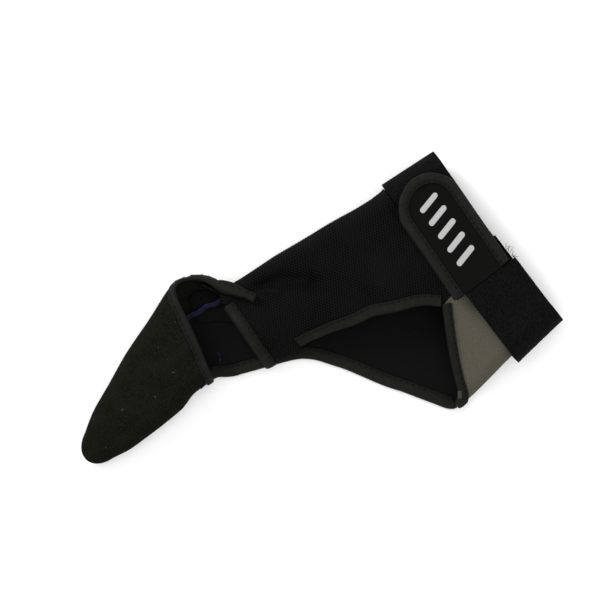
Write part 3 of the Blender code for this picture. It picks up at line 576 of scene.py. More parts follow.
class Finish(Graph):  # a cloth's material
    def __init__(self, name, roughness=0.85, specular=0.2):
        self.material = bpy.data.materials.new(name)
        self.material.use_nodes = True
        super().__init__(self.material.node_tree)
        self.shader = self.tree.nodes["Principled BSDF"]
        self.shader.inputs["Roughness"].default_value = roughness
        self.shader.inputs["Specular IOR Level"].default_value = specular

    def flat(self):  # the cloth's own plan, in millimetres
        return self.node("ShaderNodeUVMap", {"uv_map": "cloth"})

    def noise(self, grain, detail=2.0, roughness=0.55):  # grain in millimetres
        where = self.node("ShaderNodeTexCoord", None, None, 3)
        inputs = {"Vector": where, "Scale": 1 / (grain * mm), "Detail": detail, "Roughness": roughness}
        return self.node("ShaderNodeTexNoise", None, inputs)

    def blend(self, share, low, high):
        low, high = (c if isinstance(c, Wire) else (*c, 1.0) for c in (low, high))
        return self.node("ShaderNodeMix", {"data_type": "RGBA"}, {0: share, 6: low, 7: high}, 2)

    def layers(self, share, low, high, *tints):  # a blend, then more colours over it
        colour = self.blend(share, low, high)
        for share, tint in tints:
            colour = self.blend(share, colour, tint)
        return colour

    def range(self, value, low, high, newLow=0.0, newHigh=1.0):
        inputs = {0: value, 1: low, 2: high, 3: newLow, 4: newHigh}
        return self.node("ShaderNodeMapRange", {"interpolation_type": "SMOOTHSTEP"}, inputs)

    def dots(self, pitch, rowPitch):  # distance to the nearest point of a staggered lattice, in pitches
        u, v, _ = self.parts(self.flat())
        u, v = u / pitch, v / (2 * rowPitch)
        lengths = []
        for shift in (0.0, 0.5):
            x = (u + shift).sum("FRACT") - 0.5
            y = ((v + shift).sum("FRACT") - 0.5) * (2 * rowPitch / pitch)
            lengths.append((x * x + y * y).sum("SQRT"))
        return lengths[0].sum("MINIMUM", lengths[1])

    def finish(self, colour, height=None, depth=0.1, roughness=None):  # depth in millimetres
        self.feed(self.shader.inputs["Base Color"], colour if isinstance(colour, Wire) else (*colour, 1.0))
        if roughness:
            self.feed(self.shader.inputs["Roughness"], roughness)
        if height:
            inputs = {"Strength": 1.0, "Distance": depth * mm, "Height": height}
            self.feed(self.shader.inputs["Normal"], self.node("ShaderNodeBump", None, inputs))
        return self.material


def netFinish():
    f = Finish("netCloth", 0.8, 0.03)
    hole = f.range(f.dots(netting["pitch"], netting["rowPitch"]), 0.2, 0.42)
    faded = f.range(f.noise(14.0), 0.35, 0.7) * 0.35
    colour = f.layers(
        hole, (0.0004, 0.0004, 0.0005), (0.0040, 0.0040, 0.0040), (faded, (0.0056, 0.0056, 0.0054)),
    )
    return f.finish(colour, hole + f.noise(0.25, 3.0) * 0.25, 0.3)


def knotFinish():
    f = Finish("netYarn", 0.7, 0.05)
    colour = f.blend(f.noise(0.4), (0.0020, 0.0020, 0.0020), (0.0090, 0.0090, 0.0088))
    return f.finish(colour, f.noise(0.12), 0.04)


def suedeFinish():
    f = Finish("stallSuede", 0.95, 0.03)
    nap, scuff = f.noise(0.7, 5.0, 0.75), f.noise(2.2, 4.0)
    colour = f.layers(
        f.range(nap, 0.36, 0.64), (0.0022, 0.0023, 0.0012), (0.0074, 0.0076, 0.0049),
        (f.range(f.noise(9.0, 3.0), 0.4, 0.75) * 0.45, (0.0084, 0.0080, 0.0052)),
        (f.range(scuff, 0.6, 0.8) * 0.35, (0.0034, 0.0036, 0.0024)),
    )
    return f.finish(colour, nap + scuff * 0.6, 0.16)


def palmFinish():
    f = Finish("palmCloth", 0.9, 0.025)
    nap = f.noise(0.4, 4.0)
    u, v, _ = f.parts(f.flat())
    weave = (u * (2 * math.pi / 0.7)).sum("SINE") * (v * (2 * math.pi / 0.7)).sum("SINE")
    colour = f.blend(nap, (0.0022, 0.0022, 0.0024), (0.0052, 0.0052, 0.0055))
    return f.finish(colour, nap + weave * 0.12, 0.1)


def tapeFinish():
    f = Finish("bindingTape", 0.75, 0.08)
    u, v, _ = f.parts(f.flat())
    ribs, cross = (u * (2 * math.pi / 0.42)).wave(), (v * (2 * math.pi / 0.5)).wave()
    stitchShadeFade = f.range(v.sum("ABSOLUTE"), 0.25, 0.75)  # v is the distance from the stitches
    colour = f.layers(
        ribs * 0.5 + cross * 0.2, (0.0044, 0.0045, 0.0034), (0.0108, 0.0109, 0.0088),
        (f.range(f.noise(3.0, 3.0), 0.5, 0.8) * 0.4, (0.0150, 0.0150, 0.0124)),
        # painted shade: the tape darkened along its stitch line, fading out by 0.75 mm from it
        (0.3 - stitchShadeFade * 0.3, (0.0020, 0.0020, 0.0017)),
        # painted shade: the tape darker from its lit crest towards the stitches and the hem
        (f.range(v, -2.4, -0.3) * 0.45, (0.0038, 0.0039, 0.0031)),
    )
    return f.finish(colour, ribs * 0.6 + cross * 0.3 + f.noise(0.3) * 0.4, 0.09)


def elasticFinish():
    f = Finish("elasticBand", 0.85, 0.035)
    u, v, _ = f.parts(f.flat())
    cords = (u * (2 * math.pi / elastic["ribPitch"])).wave()
    sway = (u * (math.pi / elastic["ribPitch"])).sum("SINE") * 2.0
    threads = (v * (2 * math.pi / 0.7) + sway).wave()
    grain = f.noise(0.7, 4.0, 0.7)
    colour = f.layers(
        threads * 0.2 + cords * 0.1 + f.range(grain, 0.35, 0.65) * 0.7, (0.0004, 0.0004, 0.0005),
        (0.0056, 0.0056, 0.0056), (f.range(f.noise(0.5), 0.66, 0.74) * 0.35, (0.020, 0.020, 0.0195)),
    )
    return f.finish(colour, threads * 0.4 + cords * 0.2 + grain, 0.12)


def gussetFinish():
    f = Finish("gussetCloth", 0.9, 0.08)
    grain, fleck = f.range(f.dots(0.85, 0.5), 0.12, 0.4), f.noise(0.5, 3.0)
    colour = f.layers(
        grain, (0.042, 0.038, 0.028), (0.072, 0.066, 0.051),
        (f.range(fleck, 0.45, 0.7) * 0.5, (0.082, 0.075, 0.060)),
        (f.range(f.noise(7.0, 3.0), 0.5, 0.8) * 0.3, (0.050, 0.046, 0.036)),
    )
    return f.finish(colour, grain + fleck * 0.4, 0.1)


def tabFinish():
    f = Finish("tabFace", 0.5, 0.03)
    smear = f.noise(4.0, 3.0)
    scratched = f.range(f.noise(1.2, 3.0), 0.66, 0.8) * 0.25
    colour = f.layers(
        smear, (0.0010, 0.0011, 0.0009), (0.0030, 0.0030, 0.0026), (scratched, (0.014, 0.014, 0.013)),
    )
    return f.finish(colour, f.noise(0.6, 3.0), 0.05, f.range(smear, 0.3, 0.8, 0.42, 0.62))


def printFinish():
    f = Finish("silverPrint", 0.5, 0.4)
    worn = f.range(f.noise(0.8, 4.0), 0.62, 0.72)
    return f.finish(f.blend(worn, (0.30, 0.30, 0.30), (0.17, 0.17, 0.17)), f.noise(0.5), 0.04)


def plainFinish(name, low, high, grain=0.4, roughness=0.8, specular=0.08):
    f = Finish(name, roughness, specular)
    return f.finish(f.blend(f.noise(grain), low, high), f.noise(grain / 2), 0.05)


# Settings of the cloths whose pattern is also cut in the mesh
netting = {"pitch": 1.22, "rowPitch": 0.98, "knotLength": 0.40, "knotWidth": 0.25, "knotHeight": 0.2}
elastic = {"ribPitch": 1.3, "ribHeight": 0.03, "ripple": 0.1, "foldSwell": 1.0, "wristDip": 0.07}

net = netFinish()
yarn = knotFinish()
suede = suedeFinish()
palmCloth = palmFinish()
tape = tapeFinish()
elasticCloth = elasticFinish()
gussetCloth = gussetFinish()
tabFace = tabFinish()
silver = printFinish()
stitchThread = plainFinish("stitchThread", (0.0012, 0.0012, 0.0012), (0.0032, 0.0032, 0.0031))
seamCloth = plainFinish("seamCloth", (0.0050, 0.0050, 0.0056), (0.0105, 0.0105, 0.0115))
blueThread = plainFinish("blueThread", (0.003, 0.0035, 0.040), (0.008, 0.009, 0.085), 0.3, 0.6, 0.1)
paleThread = plainFinish("paleThread", (0.030, 0.029, 0.024), (0.080, 0.076, 0.064))
lintFibre = plainFinish("lintFibre", (0.04, 0.037, 0.024), (0.12, 0.11, 0.08))
print("finishes made")

# Edges of the cloth pieces
backOpening = [
    (1.49, 2.175), (1.80, 2.03), (2.22, 1.96), (2.91, 2.05), (3.42, 2.22), (3.90, 2.41), (4.38, 2.64),
    (4.80, 2.92),
]
backSaddle = [(4.80, 2.92), (5.00, 3.40), (5.16, 4.05)]
backFront = [(6.14, 1.20), (6.12, 1.60), (6.10, 2.28), (6.09, 3.20), (6.08, 4.00)]
backCorner = [(6.00, -0.50), (6.03, 0.00), (6.08, 0.60), (6.14, 1.20)]
gussetFront = [(1.43, 2.20), (1.63, 2.44), (1.80, 2.72), (1.91, 3.02), (2.00, 3.40), (2.05, 3.82), (2.05, 4.20)]
gussetSeam = [(0.84, 5.12), (1.00, 5.12), (1.40, 4.92), (1.75, 4.50), (2.05, 4.20)]
gussetSeamOnPalm = [(0.84, -2.86), (1.00, -2.86), (1.40, -2.98), (1.75, -3.14), (2.10, -3.36)]
palmOpening = [
    (2.10, -3.36), (2.16, -3.375), (2.26, -3.345), (2.49, -3.22), (2.90, -3.25), (3.28, -3.29), (3.82, -3.30),
    (4.40, -3.32), (4.97, -3.43), (5.95, -3.38), (6.95, -3.24), (7.50, -3.50), (7.90, -3.72), (8.22, -3.80),
]
stallMouth = [
    (8.12, 4.55), (8.03, 4.00), (8.02, 3.00), (8.03, 2.30), (8.07, 1.60), (8.10, 1.05), (8.08, 0.60),
    (7.92, 0.32), (7.50, 0.22), (6.90, 0.26), (6.30, 0.44), (5.86, 0.70), (5.54, 1.02), (5.36, 1.36),
]
wingEnd = [
    (5.36, 1.36), (5.34, 1.10), (5.50, 0.66), (5.76, 0.24), (6.00, -0.12), (6.20, -0.50), (6.26, -0.90),
    (6.26, -1.32),
]
tongueSeam = [
    (8.38, -3.00), (8.80, -2.65), (8.96, -2.30), (8.96, -2.00), (8.72, -1.72), (8.10, -1.47), (7.20, -1.44),
    (6.70, -1.36), (6.26, -1.32),
]
rollPath = [  # in the hand's plan
    (-99.0, 52.0), (-95.6, 51.2), (-89.9, 50.2), (-83.5, 48.8), (-79.5, 48.6), (-75.5, 47.6), (-71.0, 46.0),
]
radialSeam = -0.5
tongueRoot = 6.18
cutLine = 6.0

fineTurns = netLines((-4, -3, 0.1), (-3, -1, 0.034), (-1, 1, 0.1), (1, 3, 0.03), (3, 5, 0.12), (5, 6, 0.034))
stallTurns = netLines((-2, -1, 0.07), (-1, 1, 0.08), (1, 3, 0.07), (3, 5, 0.08), (5, 6, 0.07))
handStations = netLines((-0.5, 1, 0.03), (1, 9, 0.055))
fingerStations = netLines((5, 6, 0.05), (6, 13, 0.06), (13, 13.9, 0.06), (13.9, 14, 0.05))
cuffStations = netLines((-0.2, 1.2, elastic["ribPitch"] / 25 / 4))
tabStations = netLines((-0.5, 1.5, 0.05))
cuffTurns = netLines((-2, -1, 0.06), (-1, 1, 0.12), (1, 3, 0.05), (3, 5, 0.12), (5, 6, 0.06))


def noOffset(places):
    return np.zeros(len(places))


# Folds of the back, in the hand's plan: where they run, their width and how far they rise
folds = {
    "valley": ([(-63.0, 43.8), (-55.2, 40.4), (-46.4, 33.1)], 3.2, -3.6),
    "farValley": ([(-44.0, 31.0), (-39.3, 26.2), (-35.4, 19.1), (-32.7, 11.8)], 4.2, -2.7),
    "pinch": ([(-64.4, 41.6), (-62.0, 39.6), (-59.6, 36.4)], 1.8, 1.9),
    "hump": ([(-57.9, 31.6), (-48.1, 24.1)], 4.0, 1.5),
    "shoulder": ([(-57.5, 50.9), (-44.9, 48.5), (-29.9, 41.2)], 3.6, 1.2),
    "cuffCrease": ([(-1.6, 43.0), (-2.2, 31.0)], 1.1, -1.1),
    "cuffPucker": ([(-4.6, 18.0), (-13.0, 14.5)], 1.6, 0.6),
}
looseBack = {"billow": 0.4, "wave": 22.0, "gather": 0.3, "gatherWave": 7.0}
thumbFold = [  # station, and how far the fold stands out there
    (1.0, 0.0), (1.05, 1.3), (1.3, 0.8), (1.8, 0.2), (3.5, 0.1), (4.4, 0.5), (5.1, 0.3), (5.5, 0.0), (6.0, 0.0),
]


def backOffset(places):
    station, turn = places[:, 0], places[:, 1]
    plan = surface(station, turn)[:, :2]
    creases = np.zeros(len(places))
    for line, width, rise in folds.values():
        creases += rise * np.exp(-((distanceTo(plan, np.array(line), False) / width) ** 2))
    creased = smoothStep(turn, 0.35, 1.0) * (1 - smoothStep(station, 5.75, 6.05))
    creases *= creased * smoothStep(station, 1.0, 1.12)
    soft = billow(plan, looseBack["wave"], 3) * looseBack["billow"] * smoothStep(station, 1.1, 2.0)
    nearCuff = smoothStep(station, 1.02, 1.15) * (1 - smoothStep(station, 1.2, 2.2))
    gathers = billow(plan * [0.25, 1.0], looseBack["gatherWave"], 5) * looseBack["gather"] * nearCuff
    swell = np.interp(station, *zip(*thumbFold)) * smoothStep(turn, -0.5, -0.1)
    swell *= 1 - smoothStep(turn, 0.8, 1.5)
    return creases + soft + gathers + swell


stall = {
    "billow": 0.22, "climb": (6.35, 7.15), "overFold": (-0.75, -0.1), "farFold": (4.0, 4.5),
    "onTop": (0.4, 1.0),
    "dents": [(-102.6, 33.8, 5.5, 0.9), (-118.0, 29.0, 6.0, 0.35)],  # x, y, radius, depth
    "thinAt": (7.5, 0.25), "thinReach": (1.25, 0.85), "thinning": 0.68, "flare": 2.6,
}


def wingOffset(places):  # the wing lies over the back, and the rest of the stall billows a little
    station, turn = places[:, 0], places[:, 1]
    lapped = (1 - smoothStep(station, *stall["climb"])) * smoothStep(turn, *stall["overFold"])
    lapped = lapped * (1 - smoothStep(turn, *stall["farFold"]))
    plan = surface(station, turn)[:, :2]
    onTop = smoothStep(turn, *stall["onTop"]) * (1 - smoothStep(turn, 3.2, 4.0))
    loose = onTop * smoothStep(station, 8.0, 9.0) * (1 - smoothStep(station, 12.5, 13.6))
    soft = billow(plan, 17.0, 11) * stall["billow"] * loose
    for x, y, radius, depth in stall["dents"]:
        far = np.linalg.norm(plan - [x, y], axis=1) / radius
        soft = soft - depth * np.exp(-far * far) * onTop
    return lapLayer * lapped + soft + (1 - rimThin(places)) * stall["flare"]


def rimThin(places):  # the cloth is thinnest where the mouth folds over the thumb side
    far = np.linalg.norm((places - stall["thinAt"]) / stall["thinReach"], axis=1)
    return 1 - stall["thinning"] * np.exp(-far * far)


def ribs(places):  # the elastic's cords and the ripple of its edges
    across, turn = places[:, 0], places[:, 1]
    nearEdge = np.exp(-((across / 0.12) ** 2)) + np.exp(-(((1 - across) / 0.12) ** 2))
    ripple = elastic["ripple"] * np.sin(turn * 9.0) * np.sin(turn * 23.0 + 1.0) * nearEdge
    cords = np.cos(2 * math.pi * across * glove["cuffDepth"] / elastic["ribPitch"])
    return elastic["ribHeight"] * cords + ripple


def bandOffset(places):
    return bandLayer + ribs(places) + elastic["foldSwell"] * np.exp(-((places[:, 1] / 0.7) ** 2))


def strapOffset(places):
    rootTurn = strapRoot()[0][1]
    rise = 1 - smoothStep(places[:, 1], rootTurn, rootTurn + 0.5)
    return strapLayer + (tabLayer - strapLayer) * rise + ribs(places)


tab = {"width": 25.2, "length": 48.5, "turn": 2.8, "root": -9.3, "shift": 8.8}


def tabOffset(places):
    return np.full(len(places), tabLayer)


def strapRoot():
    count = 24
    return np.array([
        placeInPlan(glove["cuffDepth"] * (1 - i / count), tab["root"] - glove["clearance"], distance=tabLayer)
        for i in range(count + 1)
    ])


def tabEdge(start=0.0, steps=36, inset=0.0):
    radius = tab["width"] / 2 - inset
    straight = tab["length"] - tab["width"] / 2
    side = [(radius, start + (straight - start) * i / steps) for i in range(steps)]
    arc = [math.pi * i / steps for i in range(steps + 1)]
    shape = side + [(radius * math.cos(t), straight + radius * math.sin(t)) for t in arc]
    shape += [(-x, y) for x, y in reversed(side)]
    return np.array([placeInPlan(*tabPlace(x, y), distance=tabLayer) for x, y in shape])


def tabPlace(x, y):  # across and along the tab, in the hand's plan
    lean = math.radians(tab["turn"])
    return tab["shift"] + x + y * math.sin(lean), tab["root"] + y * math.cos(lean)


thumbHole = {"length": 42.0, "width": 21.0, "along": 0.47, "across": 0.31}


def thumbHoleEdge(count=120):
    angles = [2 * math.pi * i / count for i in range(count)]
    return np.array([
        placeInPlan(
            -thumbHole["along"] * glove["handReach"] + thumbHole["length"] / 2 * math.cos(t),
            thumbHole["across"] * glove["wristWidth"] + thumbHole["width"] / 2 * math.sin(t),
            underside=True,
        )
        for t in angles
    ])


def bandOutline():
    wristEdge = straightEdge((0, cutLine), (0, cutLine - 8))[1:-1]
    for turn in (-2.1, 2.1, 5.9):  # under the tab, on the back and on the palm
        wristEdge[:, 0] += elastic["wristDip"] * np.exp(-(((wristEdge[:, 1] - turn) / 0.8) ** 2))
    return outlineOf(
        straightEdge((0, cutLine - 8), (1, cutLine - 8), 0.33),
        straightEdge((1, cutLine - 8), (1, cutLine))[1:],
        straightEdge((1, cutLine), (0, cutLine), 0.33)[1:],
        wristEdge,
    )


def bandPoints():
    places = bandOutline()
    return shellPoints(places, bandLayer + glove["wall"] / 2)


handShift = np.zeros(3)  # from the hand's frame to the row's
handShift = np.array(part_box("cuff_band")[0]) / mm - bandPoints().min(axis=0)
handShift[2] = 0.0
print("hand frame at", np.round(handShift, 2))

# Bound edges: a folded tape, its puckers and its stitches
binding = {
    "reach": 3.8, "tabReach": 3.2, "mouthReach": 2.6, "gussetReach": 3.0, "pucker": 0.24, "hemDip": 0.35,
    "stitchPitch": 2.6, "stitchInset": 0.8, "stitch": (0.85, 0.38, 0.22),
}
stitchRuns = []  # (place, facing, along) of each run of stitches


def bindEdge(name, edge, wall, offset, clothSide=1, reach=None, closed=False, insetEdge=None, thin=None):
    reach = reach or binding["reach"]
    inward = unitRows(eased(leftOf(edge, closed) * clothSide, closed))
    inner, outer = wall / 2 + glove["clearance"], tapeHalf(wall)
    run = runOf(surface(*edge.T))
    count = max(2, round(run[-1] / binding["stitchPitch"]))
    pace = run / run[-1] * count  # whole numbers between stitches
    beat = 0.5 + 0.5 * np.cos(2 * math.pi * pace)
    seam = reach - binding["stitchInset"]
    belly = seam * 0.35
    uppers = [reach, reach - 0.15, reach - 0.45, seam, seam - 0.45, seam - 0.9, belly, 0.0]
    arcs = [math.radians(a) for a in (72, 50, 25, 0, -25, -50, -72)]
    rows = [(b, outer, 1) for b in uppers]  # behind the edge, off the cloth's middle, which face
    rows += [((wall / 2 - outer) * math.cos(a), outer * math.sin(a), 0) for a in arcs]
    rows += [(b, -outer, -1) for b in reversed(uppers)]
    rows += [(reach, -inner, 0), (0.0, -inner, 0), (0.0, inner, 0), (reach, inner, 0)]
    insetEdge = insetEdge or (lambda inset: eased(walk(edge, inward, inset), closed) if inset else edge)
    spots = {inset: insetEdge(inset) for inset in {max(row[0], 0.0) for row in rows}}
    columns = []
    for behind, off, face in rows:
        places = spots[max(behind, 0.0)]
        height = np.full(len(places), float(off))
        if face:
            dip = math.exp(-(((behind - seam) / 0.4) ** 2)) * (1.15 - 0.5 * beat)
            swell = math.exp(-(((behind - belly) / 1.1) ** 2)) * 0.5 * beat
            hem = -binding["hemDip"] if behind == reach else (-0.1 if behind > reach - 0.2 else 0.0)
            height += face * (binding["pucker"] * (swell - dip) + hem)
        else:
            height *= 1 + 0.06 * beat
        flatter = thin(places) if thin else np.ones(len(places))
        points = shellPoints(places, offset(places) + height * flatter)
        columns.append(points + min(behind, 0.0) * inward * flatter[:, None])
    places, marks = spots[seam], np.arange(count) + 0.5
    sunk = (outer - binding["pucker"] * 0.8) * (thin(places) if thin else 1.0)
    for face in (1, -1):
        line = shellPoints(places, offset(places) + face * sunk)
        stitchRuns.append([
            np.column_stack([np.interp(marks, pace, column) for column in values.T])
            for values in (line, normals(*places.T) * face, np.gradient(line, axis=0))
        ])
    fromSeam = [row[0] - seam for row in rows]
    return sweepRings(name, np.stack(columns, axis=1), tape, closed, 75, fromSeam + fromSeam[:1])


edgeStep = 0.65
opening, front, mouth, palmEdge, gussetEdge = (
    knotsToEdge(knots, edgeStep) for knots in (backOpening, backFront, stallMouth, palmOpening, gussetFront)
)
wall = glove["wall"]
for piece, node in (
    (bindEdge("stallMouthBinding", mouth, wall, wingOffset, 1, binding["mouthReach"], thin=rimThin),
     "stall_mouth_binding"),
    (bindEdge("backFrontBinding", front, wall, backOffset), "back_front_binding"),
    (bindEdge("backOpeningBinding", opening, wall, backOffset, -1), "back_opening_binding"),
    (bindEdge("gussetBinding", gussetEdge, wall, noOffset, 1, binding["gussetReach"]), "gusset_binding"),
    (bindEdge("palmEdgeBinding", palmEdge, wall, noOffset), "palm_edge_binding"),
    (bindEdge("thumbHoleBinding", thumbHoleEdge(180), wall, noOffset, closed=True), "thumb_hole_binding"),
    (bindEdge("tabBinding", tabEdge(0.6, 40), glove["tabWall"], tabOffset, 1, binding["tabReach"],
              insetEdge=lambda inset: tabEdge(0.6, 40, inset)), "tab_binding"),
):
    dress(piece, "binding_tape", node)
print("bindings sewn")


# Cloth pieces

def backOutline():
    top = gussetFront[0]
    gussetSide = beside(straightEdge((panelStart, top[1]), top), -glove["clearance"])
    return outlineOf(
        straightEdge(backCorner[0], (panelStart, radialSeam)),
        straightEdge((panelStart, radialSeam), gussetSide[0])[1:-1],
        gussetSide,
        knotsToEdge(backOpening),
        knotsToEdge(backSaddle)[1:],
        straightEdge(backSaddle[-1], backFront[-1])[1:-1],
        knotsToEdge(backFront)[::-1],
        knotsToEdge(backCorner)[::-1][1:-1],
    )


def gussetOutline():
    edge, seam = knotsToEdge(gussetFront), knotsToEdge(gussetSeam)[::-1]
    return outlineOf(
        edge, seam,
        straightEdge(seam[-1], (panelStart, edge[0][1]))[1:],
        straightEdge((panelStart, edge[0][1]), edge[0])[1:-1],
    )[::-1]


def palmOutline():
    gussetSide = knotsToEdge(gussetSeamOnPalm)
    thumbSide = beside(straightEdge((tongueRoot, radialSeam), (panelStart, radialSeam)), glove["clearance"])
    tongue = beside(knotsToEdge(tongueSeam), 1.3 * glove["clearance"])
    tongue = tongue[tongue[:, 0] > tongueRoot + 0.05]
    return outlineOf(
        gussetSide,
        knotsToEdge(palmOpening),
        tongue,
        straightEdge((tongueRoot, tongue[-1][1]), (tongueRoot, thumbSide[0][1])),
        thumbSide[1:],
        straightEdge(thumbSide[-1], gussetSide[0])[1:-1],
    )


def stallOutline():
    seam = knotsToEdge(tongueSeam)
    split = int(np.argmin(np.abs(seam[:, 1] - (cutLine - 8))))
    seam[split, 1] = cutLine - 8
    openCut = straightEdge((seam[split, 0], cutLine), (fingertip, cutLine))
    return outlineOf(
        openCut[::-1],
        seam[: split + 1][::-1] + [0, 8],
        knotsToEdge(stallMouth),
        knotsToEdge(wingEnd),
        seam[split:][::-1],
        openCut - [0, 8],
        np.linspace((fingertip, cutLine - 8), (fingertip, cutLine), 60)[1:-1],
    )[::-1]


def strapOutline():
    root = strapRoot()
    root[0][0], root[-1][0] = 0, 1
    return outlineOf(
        root,
        straightEdge(root[-1], (1, cutLine))[1:],
        straightEdge((1, cutLine), (0, cutLine), 0.33)[1:],
        straightEdge((0, cutLine), root[0])[1:-1],
    )


# A lap of palm cloth inside the mouth, then level with the back's edge, so that no light falls through
lap = {
    "wall": 0.6, "rise": 2.2, "riseFrom": (6.00, 6.07), "riseOver": (-0.8, -0.45),
    "corners": [
        (5.85, 0.60), (6.30, 0.42), (6.55, 0.32), (6.60, -0.60), (7.60, -1.00), (7.60, -1.70), (5.85, -1.70),
    ],
}


def lapOffset(places):
    outward = smoothStep(places[:, 0], *lap["riseFrom"]) * smoothStep(places[:, 1], *lap["riseOver"])
    return outward * lap["rise"] - glove["wall"] / 2 - glove["clearance"] - lap["wall"] / 2


lapEdges = [straightEdge(a, b)[:-1] for a, b in zip(lap["corners"], lap["corners"][1:] + lap["corners"][:1])]

netGuide = cutCloth("netGuide", backOutline(), wall, backOffset, net, handStations, fineTurns, skin=True)
for slot, nodes, piece in (
    ("net_cloth", ["back_panel"],
     cutCloth("backPanel", backOutline(), wall, backOffset, net, handStations, fineTurns)),
    ("palm_cloth", ["palm_panel"],
     cutCloth("palmPanel", palmOutline(), wall, noOffset, palmCloth, handStations, fineTurns, thumbHoleEdge())),
    ("gusset_cloth", ["side_gusset"],
     cutCloth("sideGusset", gussetOutline(), wall, noOffset, gussetCloth, handStations, fineTurns)),
    ("stall_suede", ["finger_stall"],
     cutCloth("fingerStall", stallOutline(), wall, wingOffset, suede, fingerStations, stallTurns,
              thin=rimThin)),
    ("palm_cloth", [],
     cutCloth("stallLap", outlineOf(*lapEdges), lap["wall"], lapOffset, palmCloth, fingerStations, stallTurns)),
    ("elastic", ["cuff_band"],
     cutCloth("cuffBand", bandOutline(), wall, bandOffset, elasticCloth, cuffStations, cuffTurns)),
    ("elastic", ["wrist_strap"],
     cutCloth("wristStrap", strapOutline(), wall, strapOffset, elasticCloth, cuffStations, cuffTurns)),
    ("tab_face", ["strap_tab"],
     cutCloth("strapTab", tabEdge(), glove["tabWall"], tabOffset, tabFace, tabStations, fineTurns)),
):
    dress(piece, slot, *nodes)

print("cloth cut")


# Geometry Nodes

def nodeTree(name, inputs):
    tree = bpy.data.node_groups.new(name, "GeometryNodeTree")
    tree.interface.new_socket("Geometry", in_out="INPUT", socket_type="NodeSocketGeometry")
    for label, kind, value in inputs:
        tree.interface.new_socket(label, in_out="INPUT", socket_type=kind).default_value = value
    tree.interface.new_socket("Geometry", in_out="OUTPUT", socket_type="NodeSocketGeometry")
    graph = Graph(tree)
    given = tree.nodes.new("NodeGroupInput")
    wires = {socket.name: Wire(graph, socket) for socket in given.outputs if socket.name}
    return graph, wires


def closeTree(graph, geometry, material):
    geometry = graph.node("GeometryNodeRealizeInstances", None, {0: geometry})
    geometry = graph.node("GeometryNodeSetShadeSmooth", None, {"Geometry": geometry, "Shade Smooth": True})
    geometry = graph.node("GeometryNodeSetMaterial", None, {"Geometry": geometry, "Material": material})
    graph.feed(graph.tree.nodes.new("NodeGroupOutput").inputs[0], geometry)


def grown(name, guide, graph, values, material):  # runs a tree on a guide and keeps the result as a plain mesh
    modifier = guide.modifiers.new(name, "NODES")
    modifier.node_group = graph.tree
    for item in graph.tree.interface.items_tree:
        if item.in_out == "INPUT" and item.name in values:
            modifier[item.identifier] = values[item.name]
    bpy.context.view_layer.update()
    made = guide.evaluated_get(bpy.context.evaluated_depsgraph_get())
    mesh = bpy.data.meshes.new_from_object(made)
    mesh.name = name
    if not mesh.materials:
        mesh.materials.append(material)
    piece = bpy.data.objects.new(name, mesh)
    bpy.context.scene.collection.objects.link(piece)
    bpy.data.objects.remove(guide, do_unlink=True)
    print(name, len(mesh.polygons), "faces")
    return piece


def netKnotTree():
    graph, given = nodeTree("netKnots", [
        ("Pitch", "NodeSocketFloat", 1.2), ("Row Pitch", "NodeSocketFloat", 1.0),
        ("Low", "NodeSocketVector", (0, 0, 0)), ("Size", "NodeSocketVector", (100, 100, 0)),
        ("Knot", "NodeSocketVector", (0.3, 0.2, 0.2)),
    ])
    pitch, rowPitch = given["Pitch"], given["Row Pitch"]
    sizeX, sizeY, _ = graph.parts(given["Size"])
    lowX, lowY, _ = graph.parts(given["Low"])
    columns, lines = (sizeX / pitch).sum("FLOOR") + 1, (sizeY / rowPitch).sum("FLOOR") + 1
    grid = graph.node("GeometryNodeMeshGrid", None, {
        "Size X": (columns - 1) * pitch, "Size Y": (lines - 1) * rowPitch,
        "Vertices X": columns, "Vertices Y": lines,
    })
    place = graph.node("GeometryNodeInputPosition")
    x, y, _ = graph.parts(place)
    x = x + columns * pitch * 0.5  # half a pitch on, so that knots stand between the holes
    y = y + (lines - 1) * rowPitch * 0.5
    odd = (y / rowPitch).sum("ROUND").sum("FLOORED_MODULO", 2.0)
    spot = graph.node("ShaderNodeCombineXYZ", None, {0: x + odd * pitch * 0.5 + lowX, 1: y + lowY})
    grid = graph.moved(grid, spot)

    def small(vector):  # the sampler wants a map about one unit wide
        return graph.node("ShaderNodeVectorMath", {"operation": "SCALE"}, {"Vector": vector, "Scale": 0.005})

    def sampled(value, output=0):
        return graph.node("GeometryNodeSampleUVSurface", graph.vector, {
            "Mesh": given["Geometry"], "Value": value, "UV Map": small(graph.attribute("cloth")),
            "Sample UV": small(place),
        }, output)

    kept = graph.stored(grid, "facing", sampled(graph.node("GeometryNodeInputNormal")))
    kept = graph.stored(kept, "spot", sampled(place))
    missing = graph.node("FunctionNodeBooleanMath", {"operation": "NOT"}, {0: sampled(place, 1)})
    inputs = {"Geometry": kept, "Selection": missing}
    kept = graph.node("GeometryNodeDeleteGeometry", {"domain": "POINT"}, inputs)
    kept = graph.moved(kept, graph.attribute("spot"))
    knot = graph.node("GeometryNodeMeshIcoSphere", None, {"Radius": 1.0, "Subdivisions": 1})
    rotation = graph.aligned(graph.attribute("facing"), (1, 0, 0))
    closeTree(graph, graph.settled(kept, knot, rotation, given["Knot"]), yarn)
    return graph


def stitchTree():
    graph, given = nodeTree("stitches", [("Stitch", "NodeSocketVector", (0.0008, 0.0002, 0.00015))])
    bead = graph.node("GeometryNodeMeshUVSphere", None, {"Segments": 6, "Rings": 4, "Radius": 1.0})
    rotation = graph.aligned(graph.attribute("facing"), graph.attribute("along"))
    closeTree(graph, graph.settled(given["Geometry"], bead, rotation, given["Stitch"]), stitchThread)
    return graph


